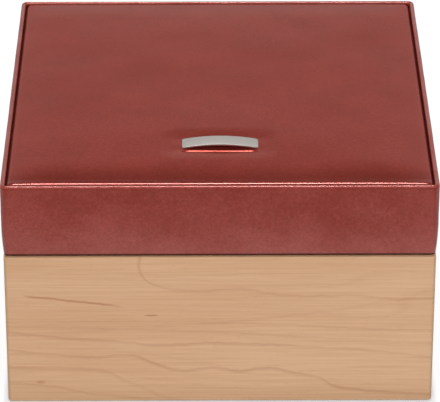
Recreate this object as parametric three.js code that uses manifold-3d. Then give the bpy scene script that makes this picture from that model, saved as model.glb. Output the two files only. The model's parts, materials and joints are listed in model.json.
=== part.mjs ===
// A maple jewellery box with a leather-covered hood lid, a padded top and a sliding inner tray.
// Millimetres, +Z up, the front faces -Y, and the origin is the centre of the felt's underside.

import * as THREE from 'three';
import { mergeVertices } from 'three/addons/utils/BufferGeometryUtils.js';
import Module from 'manifold-3d';

const library = await Module();
library.setup();

// Lid, outside
const lidWidth = 220;
const lidDepth = 228;
const lidHeight = 39;
const lidCornerRadius = 3.5;
const lidTuck = 0.7;
const lidTuckHeight = 12;
const leatherThickness = 0.9;
const leatherEdgeRadius = 0.6;

// Lid, rim and padded panel
const rimWidth = 2.3;
const rimDepth = 4.6;
const grooveWidth = 1.2;
const rimFlangeWidth = 8;
const panelBoardThickness = 1.6;
const panelEdgeRadius = 1.5;
const panelCornerRadius = 3;
const crownRise = 2.4;
const crownReach = 24;
const foamCrownRise = 1.2;

// Lid, inside
const lidWallThickness = 8;
const lidTopThickness = 5;
const lidRebateDepth = 4;
const ceilingThickness = 2.4;
const lidLiningThickness = 2;

// Name plate
const plateWidth = 38.8;
const plateDepth = 9.9;
const plateThickness = 0.9;
const plateBow = 1.9;
const plateSetback = 46;
const prongWidth = 4;
const prongThickness = 1.2;
const prongInset = 1.6;
const dipDepth = 0.9;
const dipReach = 9;

// Case
const caseInset = 0.7;
const caseHeight = 84.2;
const caseCornerRadius = 2.2;
const caseEdgeRadius = 1;
const caseWallThickness = 9;
const caseRebateDepth = 4;
const basePanelThickness = 5;
const feltThickness = 1.6;
const feltProud = 0.6;
const feltMargin = 0.8;
const partingGap = 0.6;

// Case, inside
const liningThickness = 2.4;
const liningLip = 4;
const floorPadThickness = 2.5;
const floorPadRound = 0.8;
const dividerThickness = 3;
const runnerWidth = 6;
const runnerHeight = 7;
const runnerRound = 1.5;

// Tray
const trayDepth = 98;
const trayHeight = 30;
const trayWallThickness = 4;
const trayFloorThickness = 3;
const trayTopBelowRim = 2.8;
const trayDividerThickness = 3;
const trayDividerDrop = 4;
const ringSectionWidth = 96;
const ringRollCount = 5;
const ringRollHeight = 20;
const ringRollGap = 0.8;
const ringRollEndRound = 1.5;
const ringRollFootRound = 2.2;
const pullTabWidth = 16;
const pullTabRise = 6.5;
const pullTabDrop = 12;
const pullTabThickness = 1.2;

// Mirror
const mirrorSurround = 15.8;
const mirrorThickness = 3;
const mirrorCornerRadius = 4;
const mirrorBevel = 0.6;
const frameWidth = 10;
const frameHeight = 4.4;
const frameLap = 2;
const frameLipThickness = 1.2;
const frameRound = 1;

// Hinges
const hingeFromSide = 49.3;
const hingeLength = 36;
const knuckleCount = 5;
const knuckleRadius = 2.6;
const hingeSetback = 3.1;
const leafThickness = 1.2;
const leafWidth = 7.4;
const leafMargin = 0.1;
const pinRadius = 1;
const pinHeadRadius = 2;
const pinHeadThickness = 1;
const screwSpacing = 22;
const screwHeadRadius = 1.9;
const screwHeadHeight = 1;
const screwShankRadius = 0.9;
const screwLength = 8;
const screwTip = 1.4;

// Clearances
const seatGap = 0.15;
const cutGap = 0.3;
const mitreGap = 0.12;
const pinClearance = 0.1;
const screwClearance = 0.15;
const slideGap = 0.5;
const runnerGap = 0.3;
const overrun = 2;
const leastRadius = 0.4;

// Fineness of the round forms
const cornerSteps = 4;
const roundSteps = 4;
const barrelSides = 20;
const pinSides = 16;
const bowSteps = 14;

// Heights
const caseFoot = feltProud;
const caseRim = caseFoot + caseHeight;
const lidFoot = caseRim + partingGap;
const lidTop = lidFoot + lidHeight;
const lidShelf = lidTop - rimDepth;
const lidWallFoot = lidFoot + leatherThickness + seatGap;
const lidWallTop = lidShelf - seatGap;
const topBoardFoot = lidWallTop - lidTopThickness;
const ceilingFoot = topBoardFoot - seatGap - ceilingThickness;
const panelFoot = lidShelf + leatherThickness + seatGap;
const basePanelFoot = feltThickness + seatGap;
const basePanelTop = basePanelFoot + basePanelThickness;
const liningFoot = basePanelTop + seatGap;
const liningTop = caseRim + liningLip;
const floorTop = liningFoot + floorPadThickness;
const trayTop = caseRim - trayTopBelowRim;
const trayFoot = trayTop - trayHeight;
const runnerTop = trayFoot - runnerGap;
const runnerFoot = runnerTop - runnerHeight;
const dividerFoot = floorTop + seatGap;
const dividerTop = runnerFoot - cutGap;

// Plan sizes
const caseWidth = lidWidth - 2 * caseInset;
const caseDepth = lidDepth - 2 * caseInset;
const caseInnerX = caseWidth / 2 - caseWallThickness;
const caseInnerY = caseDepth / 2 - caseWallThickness;
const liningOuterX = caseInnerX - seatGap;
const liningOuterY = caseInnerY - seatGap;
const liningInnerX = liningOuterX - liningThickness;
const liningInnerY = liningOuterY - liningThickness;
const lidWallInset = leatherThickness + seatGap;
const lidInnerX = lidWidth / 2 - lidWallInset - lidWallThickness;
const lidInnerY = lidDepth / 2 - lidWallInset - lidWallThickness;
const lidLiningOuterX = lidInnerX - seatGap;
const lidLiningOuterY = lidInnerY - seatGap;
const frameReach = frameWidth - frameLap;
const mirrorWidth = 2 * (lidLiningOuterX - lidLiningThickness - mirrorSurround - frameReach);
const mirrorDepth = 2 * (lidLiningOuterY - lidLiningThickness - mirrorSurround - frameReach);
const panelInset = rimWidth + grooveWidth;
const panelHalfX = lidWidth / 2 - panelInset;
const panelHalfY = lidDepth / 2 - panelInset;
const plateCentreY = plateSetback - lidDepth / 2;
const caseBack = caseDepth / 2;
const hingePlaces = [hingeFromSide - caseWidth / 2, caseWidth / 2 - hingeFromSide];
const hingeAxisY = caseBack + hingeSetback;
const hingeAxisZ = caseRim + partingGap / 2;

function finish(color, roughness, metalness = 0) {
  return new THREE.MeshStandardMaterial({ color, roughness, metalness });
}

const maple = finish(0xd0a880, 0.5);
const roseLeather = finish(0x8c4840, 0.45);
const panelBoardFinish = finish(0xb08a62, 0.8);
const foamFinish = finish(0xe6dcc4, 0.95);
const liningCloth = finish(0xcdbfae, 0.95);
const baseFelt = finish(0x4a2a26, 0.95);
const plateMetal = finish(0xb9b2ac, 0.3, 1);
const hingeMetal = finish(0xc2bdb6, 0.3, 1);
const mirrorGlass = finish(0xdfe6e8, 0.05, 0.9);

// A closed geometry as a solid that can be cut and joined.
function solidFrom(geometry) {
  const bare = geometry.clone();
  bare.deleteAttribute('normal');
  bare.deleteAttribute('uv');
  const merged = mergeVertices(bare);
  const corners = merged.index.array;
  const kept = [];
  for (let i = 0; i < corners.length; i += 3) {
    const [a, b, c] = [corners[i], corners[i + 1], corners[i + 2]];
    if (a !== b && b !== c && c !== a) {
      kept.push(a, b, c);
    }
  }
  const vertProperties = new Float32Array(merged.attributes.position.array);
  const triVerts = new Uint32Array(kept);
  return new library.Manifold(new library.Mesh({ numProp: 3, vertProperties, triVerts }));
}

function geometryFrom(solid) {
  const mesh = solid.getMesh();
  const geometry = new THREE.BufferGeometry();
  geometry.setAttribute('position', new THREE.BufferAttribute(new Float32Array(mesh.vertProperties), 3));
  geometry.setIndex(new THREE.BufferAttribute(new Uint32Array(mesh.triVerts), 1));
  geometry.computeVertexNormals();
  return geometry;
}

function piece(name, geometry, material, x = 0, y = 0, z = 0) {
  const mesh = new THREE.Mesh(geometry, material);
  mesh.name = name;
  mesh.position.set(x, y, z);
  return mesh;
}

// A box from its low corner to its high corner, each given as [x, y, z].
function boxBetween(low, high) {
  const [width, depth, height] = [high[0] - low[0], high[1] - low[1], high[2] - low[2]];
  const box = new THREE.BoxGeometry(width, depth, height);
  return box.translate((low[0] + high[0]) / 2, (low[1] + high[1]) / 2, (low[2] + high[2]) / 2);
}

function boxSolid(low, high) {
  return solidFrom(boxBetween(low, high));
}

// The outline of a rectangle with rounded corners, with as many points at every size.
function roundedRectangle(halfX, halfY, radius) {
  const points = [];
  for (let corner = 0; corner < 4; corner += 1) {
    const signX = corner === 0 || corner === 3 ? 1 : -1;
    const signY = corner < 2 ? 1 : -1;
    for (let step = 0; step <= cornerSteps; step += 1) {
      const angle = (corner + step / cornerSteps) * Math.PI / 2;
      const x = signX * (halfX - radius) + radius * Math.cos(angle);
      const y = signY * (halfY - radius) + radius * Math.sin(angle);
      points.push([x, y]);
    }
  }
  return points;
}

// A skin through one rounded rectangle for each [inset, height] of a profile that runs up its outside.
// A ring's profile closes on itself, and any other is capped at its two ends.
function loft(width, depth, cornerRadius, profile, ring = false) {
  const positions = [];
  const indices = [];
  for (const [inset, height] of profile) {
    const radius = Math.max(cornerRadius - inset, leastRadius);
    for (const [x, y] of roundedRectangle(width / 2 - inset, depth / 2 - inset, radius)) {
      positions.push(x, y, height);
    }
  }
  const around = 4 * (cornerSteps + 1);
  const levels = profile.length;
  const bands = ring ? levels : levels - 1;
  for (let level = 0; level < bands; level += 1) {
    const lower = level * around;
    const upper = ((level + 1) % levels) * around;
    for (let i = 0; i < around; i += 1) {
      const next = (i + 1) % around;
      indices.push(lower + i, lower + next, upper + next);
      indices.push(lower + i, upper + next, upper + i);
    }
  }
  if (!ring) {
    const foot = positions.length / 3;
    const head = foot + 1;
    positions.push(0, 0, profile[0][1]);
    positions.push(0, 0, profile[levels - 1][1]);
    const last = (levels - 1) * around;
    for (let i = 0; i < around; i += 1) {
      const next = (i + 1) % around;
      indices.push(foot, next, i);
      indices.push(head, last + i, last + next);
    }
  }
  const geometry = new THREE.BufferGeometry();
  geometry.setAttribute('position', new THREE.Float32BufferAttribute(positions, 3));
  geometry.setIndex(indices);
  geometry.computeVertexNormals();
  return geometry;
}

// A quarter round as [inset, height] steps, from a side of the given inset up to a top.
function quarterRound(radius, sideInset, top) {
  const steps = [];
  for (let step = 0; step <= roundSteps; step += 1) {
    const angle = step / roundSteps * Math.PI / 2;
    steps.push([sideInset + radius * (1 - Math.cos(angle)), top - radius * (1 - Math.sin(angle))]);
  }
  return steps;
}

// The same round turned over, from a foot up to a side.
function quarterRoundUnder(radius, sideInset, foot) {
  return quarterRound(radius, sideInset, 0).map(([inset, height]) => [inset, foot - height]).reverse();
}

// A board that stands on edge, centred, along X or Y, with a half-round top.
function roundToppedBoard(length, height, thickness, alongX) {
  const radius = thickness / 2;
  const outline = new THREE.Shape();
  outline.moveTo(-radius, 0);
  outline.lineTo(radius, 0);
  outline.lineTo(radius, height - radius);
  outline.absarc(0, height - radius, radius, 0, Math.PI, false);
  outline.closePath();
  const board = new THREE.ExtrudeGeometry(outline, {
    depth: length,
    bevelEnabled: false,
    curveSegments: 2 * roundSteps,
  });
  board.translate(0, 0, -length / 2);
  board.rotateX(Math.PI / 2);
  if (alongX) {
    board.rotateZ(Math.PI / 2);
  }
  return board;
}

// The plan of one of four mitred walls, as a tall prism: side 0 is the front, then right, back and left.
function mitreWedge(halfX, halfY, reach, foot, top, side) {
  const frontOrBack = side % 2 === 0;
  const [half, out] = frontOrBack ? [halfX, halfY] : [halfY, halfX];
  const outer = half + overrun - mitreGap / 2;
  const inner = half - reach - mitreGap / 2;
  const plan = new THREE.Shape();
  plan.moveTo(-outer, -out - overrun);
  plan.lineTo(outer, -out - overrun);
  plan.lineTo(inner, -out + reach);
  plan.lineTo(-inner, -out + reach);
  plan.closePath();
  const prism = new THREE.ExtrudeGeometry(plan, { depth: top - foot, bevelEnabled: false });
  prism.translate(0, 0, foot);
  prism.rotateZ(side * Math.PI / 2);
  return solidFrom(prism);
}

// Four mitred walls cut from a hollow block.
function mitredWalls(block, halfX, halfY, reach, foot, top) {
  const walls = [];
  for (let side = 0; side < 4; side += 1) {
    walls.push(block.intersect(mitreWedge(halfX, halfY, reach, foot, top, side)));
  }
  return walls;
}

// How far the lid's leather draws in at a height above its lower edge.
function tuckAt(height) {
  const share = Math.max(1 - height / lidTuckHeight, 0);
  return lidTuck * share * share;
}

// The lid's side line from its lower edge up, drawn in by the tuck, at a depth under the leather's face.
function tuckedSide(depthUnder, foot, top) {
  const line = [];
  const stepShares = [0, 0.25, 0.5, 0.75];
  for (const share of stepShares) {
    const height = foot - lidFoot + share * (lidTuckHeight - foot + lidFoot);
    line.push([depthUnder + tuckAt(height), lidFoot + height]);
  }
  line.push([depthUnder, lidFoot + lidTuckHeight]);
  line.push([depthUnder, top]);
  return line;
}

// The padded panel's top, by distance from its edges, with a dip round the name plate.
function panelTop(x, y) {
  const edgeX = panelHalfX - Math.abs(x);
  const edgeY = panelHalfY - Math.abs(y);
  const swellX = 1 - Math.max(1 - edgeX / crownReach, 0) ** 2;
  const swellY = 1 - Math.max(1 - edgeY / crownReach, 0) ** 2;
  const edge = Math.max(Math.min(edgeX, edgeY), 0);
  const away = Math.max(panelEdgeRadius - edge, 0);
  const drop = panelEdgeRadius - Math.sqrt(Math.max(panelEdgeRadius ** 2 - away ** 2, 0));
  const besideX = Math.max(Math.abs(x) - plateWidth / 2, 0);
  const besideY = Math.max(Math.abs(y - plateCentreY) - plateDepth / 2, 0);
  const nearness = Math.max(1 - Math.hypot(besideX, besideY) / dipReach, 0);
  const dip = dipDepth * nearness * nearness * (3 - 2 * nearness);
  return lidTop + crownRise * swellX * swellY - drop - dip;
}

// Grid lines across the panel: close at the rounded edges, wider on the crown, and close at the plate.
function gridLines(half, centreLines) {
  const fromEdge = [];
  for (let step = 0; step <= 3; step += 1) {
    fromEdge.push(panelEdgeRadius * (1 - Math.cos(step / 3 * Math.PI / 2)));
  }
  const crownShares = [0.12, 0.3, 0.6, 1];
  for (const share of crownShares) {
    fromEdge.push(panelEdgeRadius + share * (crownReach - panelEdgeRadius));
  }
  const low = fromEdge.map((distance) => distance - half);
  const high = fromEdge.map((distance) => half - distance).reverse();
  return [...low, ...centreLines, ...high];
}

// A grid point drawn in where it would stand outside a rounded corner.
function intoCorner(x, y) {
  const overX = Math.abs(x) - (panelHalfX - panelCornerRadius);
  const overY = Math.abs(y) - (panelHalfY - panelCornerRadius);
  if (overX <= 0 || overY <= 0) {
    return [x, y];
  }
  const pull = 1 - Math.max(overX, overY) / Math.hypot(overX, overY);
  return [x - Math.sign(x) * overX * pull, y - Math.sign(y) * overY * pull];
}

// The panel's outside as one closed grid: the crowned top, the sides and the flat underside.
function panelBlock() {
  const plateFront = plateCentreY - plateDepth / 2;
  const plateBack = plateCentreY + plateDepth / 2;
  const flankShares = [-0.6, -0.38];
  const leftX = flankShares.map((share) => share * panelHalfX);
  leftX.push(-plateWidth / 2 - dipReach, -plateWidth / 2 - dipReach / 2, -plateWidth / 2, -plateWidth / 4);
  const rightX = leftX.map((x) => -x).reverse();
  const linesX = gridLines(panelHalfX, [...leftX, 0, ...rightX]);
  const centreY = [plateFront - dipReach, plateFront - dipReach / 2, plateFront, plateCentreY, plateBack];
  centreY.push(plateBack + dipReach / 2, plateBack + dipReach);
  const backShares = [-0.3, -0.08, 0.14, 0.36, 0.58];
  centreY.push(...backShares.map((share) => share * panelHalfY));
  const linesY = gridLines(panelHalfY, centreY);
  const positions = [];
  const indices = [];
  for (const underside of [false, true]) {
    for (const lineY of linesY) {
      for (const lineX of linesX) {
        const [x, y] = intoCorner(lineX, lineY);
        positions.push(x, y, underside ? panelFoot : panelTop(lineX, lineY));
      }
    }
  }
  const across = linesX.length;
  const along = linesY.length;
  const under = across * along;
  for (let row = 0; row < along - 1; row += 1) {
    for (let column = 0; column < across - 1; column += 1) {
      const a = row * across + column;
      const [b, c, d] = [a + 1, a + across + 1, a + across];
      indices.push(a, b, c, a, c, d);
      indices.push(under + a, under + c, under + b, under + a, under + d, under + c);
    }
  }
  const border = [];
  for (let column = 0; column < across - 1; column += 1) {
    border.push(column);
  }
  for (let row = 0; row < along - 1; row += 1) {
    border.push(row * across + across - 1);
  }
  for (let column = across - 1; column > 0; column -= 1) {
    border.push((along - 1) * across + column);
  }
  for (let row = along - 1; row > 0; row -= 1) {
    border.push(row * across);
  }
  for (let i = 0; i < border.length; i += 1) {
    const [a, b] = [border[i], border[(i + 1) % border.length]];
    indices.push(a, under + a, under + b, a, under + b, b);
  }
  const geometry = new THREE.BufferGeometry();
  geometry.setAttribute('position', new THREE.Float32BufferAttribute(positions, 3));
  geometry.setIndex(indices);
  return solidFrom(geometry);
}

// The foam under the leather, or with a seat gap less the space that it fills.
function foamSpace(gap) {
  const inset = leatherThickness + gap;
  const foot = panelFoot + panelBoardThickness + seatGap;
  const top = lidTop - leatherThickness - gap;
  const rise = foamCrownRise;
  const swellShares = [0.25, 0.5, 1];
  const profile = [[inset, foot], [inset + panelEdgeRadius, top]];
  for (const share of swellShares) {
    profile.push([inset + panelEdgeRadius + share * crownReach, top + rise * (1 - (1 - share) ** 2)]);
  }
  return profile;
}

// Slots through the padding for the plate's two prongs.
function prongSlots() {
  const slots = [];
  for (const side of [-1, 1]) {
    const x = side * (plateWidth / 2 - prongInset);
    const halfX = prongThickness / 2 + cutGap;
    const halfY = prongWidth / 2 + cutGap;
    const low = [x - halfX, plateCentreY - halfY, panelFoot - overrun];
    const high = [x + halfX, plateCentreY + halfY, lidTop + crownRise + overrun];
    slots.push(boxSolid(low, high));
  }
  return slots;
}

function cutAll(solid, cutters) {
  return cutters.reduce((rest, cutter) => rest.subtract(cutter), solid);
}

// The leather of the lid's sides: turned over the rim, in under the panel, and under the lower edge.
function leatherBand() {
  const rimRound = rimWidth / 2;
  const outside = tuckedSide(0, lidFoot + leatherEdgeRadius, lidTop - rimRound).slice(0, -1);
  const overRim = [...quarterRound(rimRound, 0, lidTop)];
  const rimInside = quarterRound(rimRound, 0, lidTop).map(([inset, height]) => [rimWidth - inset, height]);
  const intoGroove = [...rimInside.reverse().slice(1), [rimWidth, lidShelf + leatherThickness]];
  const flange = [[rimFlangeWidth, lidShelf + leatherThickness], [rimFlangeWidth, lidShelf]];
  const inside = tuckedSide(leatherThickness, lidFoot + leatherThickness, lidShelf).reverse();
  const turnIn = lidWallInset + lidWallThickness;
  const under = [[turnIn, lidFoot + leatherThickness], [turnIn, lidFoot]];
  const lowerEdge = quarterRoundUnder(leatherEdgeRadius, tuckAt(0), lidFoot).slice(0, -1);
  const profile = [...outside, ...overRim, ...intoGroove, ...flange, ...inside, ...under, ...lowerEdge];
  return solidFrom(loft(lidWidth, lidDepth, lidCornerRadius, profile, true));
}

// Everything that the hinges take away above or below the parting line.
function leafRecess(x, inLid) {
  const halfX = hingeLength / 2 + cutGap;
  const front = caseBack - leafWidth - cutGap;
  const back = hingeAxisY;
  const low = inLid ? lidFoot - overrun : caseRim - leafThickness - seatGap;
  const high = inLid ? lidFoot + leafThickness + seatGap : caseRim + overrun;
  return boxSolid([x - halfX, front, low], [x + halfX, back, high]);
}

const screwY = caseBack - leafWidth / 2 - leafMargin;

function screwPlaces(x) {
  return [x - screwSpacing / 2, x + screwSpacing / 2];
}

// A screw's pilot hole, upright, from a leaf's outer face into the wood.
function pilotHole(x, inLid) {
  const length = screwLength + 2 * cutGap;
  const hole = new THREE.CylinderGeometry(
    screwShankRadius + cutGap,
    screwShankRadius + cutGap,
    length,
    pinSides,
  );
  hole.rotateX(Math.PI / 2);
  const middle = inLid ? lidFoot + length / 2 : caseRim - length / 2;
  hole.translate(x, screwY, middle);
  return solidFrom(hole);
}

function hingeCuts(inLid) {
  const cuts = [];
  for (const x of hingePlaces) {
    cuts.push(leafRecess(x, inLid));
    for (const place of screwPlaces(x)) {
      cuts.push(pilotHole(place, inLid));
    }
  }
  return cuts;
}

// A hinge leaf: a plate with its own knuckles round the pin and countersunk screw holes.
// Built for the case side at the parting line, and turned over for the lid side.
function hingeLeaf(ofLid) {
  const plateTop = -partingGap / 2;
  const plateFoot = plateTop - leafThickness;
  const plateBack = -hingeSetback - leafMargin;
  const plateFront = -hingeSetback - leafWidth;
  const half = hingeLength / 2;
  let leaf = boxSolid([-half, plateFront, plateFoot], [half, plateBack, plateTop]);
  const pitch = hingeLength / knuckleCount;
  for (let i = ofLid ? 1 : 0; i < knuckleCount; i += 2) {
    const start = i === 0 ? -half : -half + i * pitch + cutGap / 2;
    const end = i === knuckleCount - 1 ? half : -half + (i + 1) * pitch - cutGap / 2;
    const knuckle = new THREE.CylinderGeometry(knuckleRadius, knuckleRadius, end - start, barrelSides);
    knuckle.rotateZ(Math.PI / 2);
    knuckle.translate((start + end) / 2, 0, 0);
    const web = boxSolid([start, plateBack - overrun, plateFoot], [end, 0, plateTop]);
    leaf = leaf.add(solidFrom(knuckle)).add(web);
  }
  const boreRadius = pinRadius + pinClearance;
  const bore = new THREE.CylinderGeometry(boreRadius, boreRadius, hingeLength + 2 * overrun, pinSides);
  bore.rotateZ(Math.PI / 2);
  leaf = leaf.subtract(solidFrom(bore));
  for (const x of screwPlaces(0)) {
    const headRadius = screwHeadRadius + screwClearance;
    const shankRadius = screwShankRadius + screwClearance;
    const sink = new THREE.CylinderGeometry(headRadius, shankRadius, screwHeadHeight, pinSides);
    sink.rotateX(Math.PI / 2);
    sink.translate(x, screwY - hingeAxisY, plateTop - screwHeadHeight / 2);
    const hole = new THREE.CylinderGeometry(shankRadius, shankRadius, 2 * overrun, pinSides);
    hole.rotateX(Math.PI / 2);
    hole.translate(x, screwY - hingeAxisY, plateFoot);
    leaf = leaf.subtract(solidFrom(sink)).subtract(solidFrom(hole));
  }
  const geometry = geometryFrom(leaf);
  return ofLid ? turnedOver(geometry) : geometry;
}

// A leaf mirrored in the parting plane, with the order of its corners put right again.
function turnedOver(geometry) {
  geometry.scale(1, 1, -1);
  const order = geometry.index.array;
  for (let i = 0; i < order.length; i += 3) {
    [order[i], order[i + 1]] = [order[i + 1], order[i]];
  }
  return geometry;
}

function hingePin() {
  const half = hingeLength / 2 + cutGap;
  const profile = [
    new THREE.Vector2(0, -half - pinHeadThickness),
    new THREE.Vector2(pinHeadRadius * Math.SQRT1_2, -half - pinHeadThickness),
    new THREE.Vector2(pinHeadRadius, -half - pinHeadThickness / 2),
    new THREE.Vector2(pinHeadRadius, -half),
    new THREE.Vector2(pinRadius, -half),
    new THREE.Vector2(pinRadius, half),
    new THREE.Vector2(pinHeadRadius, half),
    new THREE.Vector2(pinHeadRadius, half + pinHeadThickness / 2),
    new THREE.Vector2(pinHeadRadius * Math.SQRT1_2, half + pinHeadThickness),
    new THREE.Vector2(0, half + pinHeadThickness),
  ];
  return geometryFrom(solidFrom(new THREE.LatheGeometry(profile, pinSides))).rotateZ(Math.PI / 2);
}

// A countersunk wood screw, point down, with its head's face at zero.
function woodScrew() {
  const profile = [
    new THREE.Vector2(0, -screwLength),
    new THREE.Vector2(screwShankRadius, -screwLength + screwTip),
    new THREE.Vector2(screwShankRadius, -screwHeadHeight),
    new THREE.Vector2(screwHeadRadius, 0),
    new THREE.Vector2(0, 0),
  ];
  return geometryFrom(solidFrom(new THREE.LatheGeometry(profile, pinSides))).rotateX(Math.PI / 2);
}

// The bowed plate: an arched strip carried along Y, with a prong under each end.
function namePlate() {
  const half = plateWidth / 2;
  const outline = new THREE.Shape();
  outline.moveTo(-half, 0);
  for (let step = 1; step <= bowSteps; step += 1) {
    const share = 2 * step / bowSteps - 1;
    outline.lineTo(half * share, plateBow * (1 - share * share));
  }
  for (let step = bowSteps; step >= 0; step -= 1) {
    const share = 2 * step / bowSteps - 1;
    outline.lineTo(half * share, plateThickness + plateBow * (1 - share * share));
  }
  outline.closePath();
  const strip = new THREE.ExtrudeGeometry(outline, { depth: plateDepth, bevelEnabled: false });
  strip.rotateX(Math.PI / 2);
  strip.translate(0, plateDepth / 2, 0);
  let plate = solidFrom(strip);
  const prongFoot = panelFoot - plateZ;
  for (const side of [-1, 1]) {
    const x = side * (half - prongInset);
    const low = [x - prongThickness / 2, -prongWidth / 2, prongFoot];
    const high = [x + prongThickness / 2, prongWidth / 2, plateThickness];
    plate = plate.add(boxSolid(low, high));
  }
  return geometryFrom(plate);
}

// The plate's ends lie on the padding where it dips.
const plateZ = panelTop(plateWidth / 2, plateCentreY) + cutGap;

function buildCase() {
  const group = new THREE.Group();
  const profile = [
    ...quarterRoundUnder(caseEdgeRadius, 0, caseFoot),
    ...quarterRound(caseEdgeRadius / 2, 0, caseRim),
  ];
  const innerLow = [-caseInnerX, -caseInnerY, caseFoot - overrun];
  const rebateX = caseInnerX + caseRebateDepth;
  const rebateY = caseInnerY + caseRebateDepth;
  const block = solidFrom(loft(caseWidth, caseDepth, caseCornerRadius, profile))
    .subtract(boxSolid(innerLow, [caseInnerX, caseInnerY, caseRim + overrun]))
    .subtract(boxSolid([-rebateX, -rebateY, caseFoot - overrun], [rebateX, rebateY, basePanelTop + seatGap]));
  const reach = caseWallThickness + overrun;
  const [low, high] = [caseFoot - overrun, caseRim + overrun];
  const walls = mitredWalls(block, caseWidth / 2, caseDepth / 2, reach, low, high);
  walls[2] = cutAll(walls[2], hingeCuts(false));
  const names = ['case_front_wall', 'case_right_wall', 'case_back_wall', 'case_left_wall'];
  names.forEach((name, side) => group.add(piece(name, geometryFrom(walls[side]), maple)));

  const panelX = rebateX - cutGap;
  const panelY = rebateY - cutGap;
  const basePanel = boxBetween([-panelX, -panelY, basePanelFoot], [panelX, panelY, basePanelTop]);
  group.add(piece('base_panel', basePanel, maple));
  const felt = loft(2 * (panelX - feltMargin), 2 * (panelY - feltMargin), caseCornerRadius, [
    [0, 0],
    [0, feltThickness],
  ]);
  group.add(piece('base_felt', felt, baseFelt));

  const liningHeight = liningTop - liningFoot;
  const liningMiddleX = liningOuterX - liningThickness / 2;
  const liningMiddleY = liningOuterY - liningThickness / 2;
  const crossLining = () => roundToppedBoard(2 * liningOuterX, liningHeight, liningThickness, true);
  const sideLength = 2 * (liningInnerY - seatGap);
  const sideLining = () => roundToppedBoard(sideLength, liningHeight, liningThickness, false);
  group.add(piece('case_lining_front', crossLining(), liningCloth, 0, -liningMiddleY, liningFoot));
  group.add(piece('case_lining_back', crossLining(), liningCloth, 0, liningMiddleY, liningFoot));
  group.add(piece('case_lining_left', sideLining(), liningCloth, -liningMiddleX, 0, liningFoot));
  group.add(piece('case_lining_right', sideLining(), liningCloth, liningMiddleX, 0, liningFoot));

  const floorX = liningInnerX - cutGap;
  const floorY = liningInnerY - cutGap;
  const floorProfile = [[0, liningFoot], ...quarterRound(floorPadRound, 0, floorTop)];
  const floorPad = loft(2 * floorX, 2 * floorY, floorPadRound, floorProfile);
  group.add(piece('floor_pad', floorPad, liningCloth));
  for (const [name, side] of [['tray_runner_left', -1], ['tray_runner_right', 1]]) {
    const runner = trayRunner();
    if (side > 0) {
      runner.rotateZ(Math.PI);
    }
    group.add(piece(name, runner, maple, side * (liningInnerX - seatGap), 0, runnerFoot));
  }
  addLowerDividers(group);
  return group;
}

// A runner along Y against the left lining, with its inner edges rounded.
function trayRunner() {
  const outline = new THREE.Shape();
  outline.moveTo(0, 0);
  outline.lineTo(runnerWidth - runnerRound, 0);
  outline.absarc(runnerWidth - runnerRound, runnerRound, runnerRound, -Math.PI / 2, 0, false);
  outline.absarc(runnerWidth - runnerRound, runnerHeight - runnerRound, runnerRound, 0, Math.PI / 2, false);
  outline.lineTo(0, runnerHeight);
  outline.closePath();
  const length = 2 * (liningInnerY - cutGap);
  const runner = new THREE.ExtrudeGeometry(outline, {
    depth: length,
    bevelEnabled: false,
    curveSegments: roundSteps,
  });
  runner.translate(0, 0, -length / 2);
  return runner.rotateX(Math.PI / 2);
}

const longDividerX = liningInnerX / 3;

// One divider across and two along, halved over each other where they cross.
function addLowerDividers(group) {
  const height = dividerTop - dividerFoot;
  const notchHalf = dividerThickness / 2 + cutGap;
  const crossLength = 2 * (liningInnerX - cutGap);
  let cross = solidFrom(roundToppedBoard(crossLength, height, dividerThickness, true));
  for (const x of [-longDividerX, longDividerX]) {
    const low = [x - notchHalf, -dividerThickness, height / 2 - cutGap / 2];
    cross = cross.subtract(boxSolid(low, [x + notchHalf, dividerThickness, height + overrun]));
  }
  group.add(piece('lower_divider_cross', geometryFrom(cross), liningCloth, 0, 0, dividerFoot));
  const low = [-dividerThickness, -notchHalf, -overrun];
  const notch = boxSolid(low, [dividerThickness, notchHalf, height / 2 + cutGap / 2]);
  const long = solidFrom(roundToppedBoard(2 * (liningInnerY - cutGap), height, dividerThickness, false));
  const notched = long.subtract(notch);
  group.add(piece('lower_divider_left', geometryFrom(notched), liningCloth, -longDividerX, 0, dividerFoot));
  group.add(piece('lower_divider_right', geometryFrom(notched), liningCloth, longDividerX, 0, dividerFoot));
}

function buildLid() {
  const group = new THREE.Group();
  const outside = tuckedSide(lidWallInset, lidWallFoot, lidWallTop);
  const rebateX = lidInnerX + lidRebateDepth;
  const rebateY = lidInnerY + lidRebateDepth;
  const block = solidFrom(loft(lidWidth, lidDepth, lidCornerRadius, outside))
    .subtract(boxSolid([-lidInnerX, -lidInnerY, lidFoot], [lidInnerX, lidInnerY, lidTop]))
    .subtract(boxSolid([-rebateX, -rebateY, topBoardFoot - seatGap], [rebateX, rebateY, lidTop]));
  const reach = lidWallInset + lidWallThickness + overrun;
  const walls = mitredWalls(block, lidWidth / 2, lidDepth / 2, reach, lidFoot, lidTop);
  walls[2] = cutAll(walls[2], hingeCuts(true));
  const names = ['lid_front_wall', 'lid_right_wall', 'lid_back_wall', 'lid_left_wall'];
  names.forEach((name, side) => group.add(piece(name, geometryFrom(walls[side]), maple)));

  const boardX = rebateX - cutGap;
  const boardY = rebateY - cutGap;
  const topBoard = boxBetween([-boardX, -boardY, topBoardFoot], [boardX, boardY, lidWallTop]);
  group.add(piece('lid_top_board', topBoard, maple));
  const band = cutAll(leatherBand(), hingePlaces.map((x) => leafRecess(x, true)));
  group.add(piece('leather_band', geometryFrom(band), roseLeather));

  addPaddedPanel(group);
  addLidLinings(group);
  addMirror(group);
  return group;
}

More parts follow.
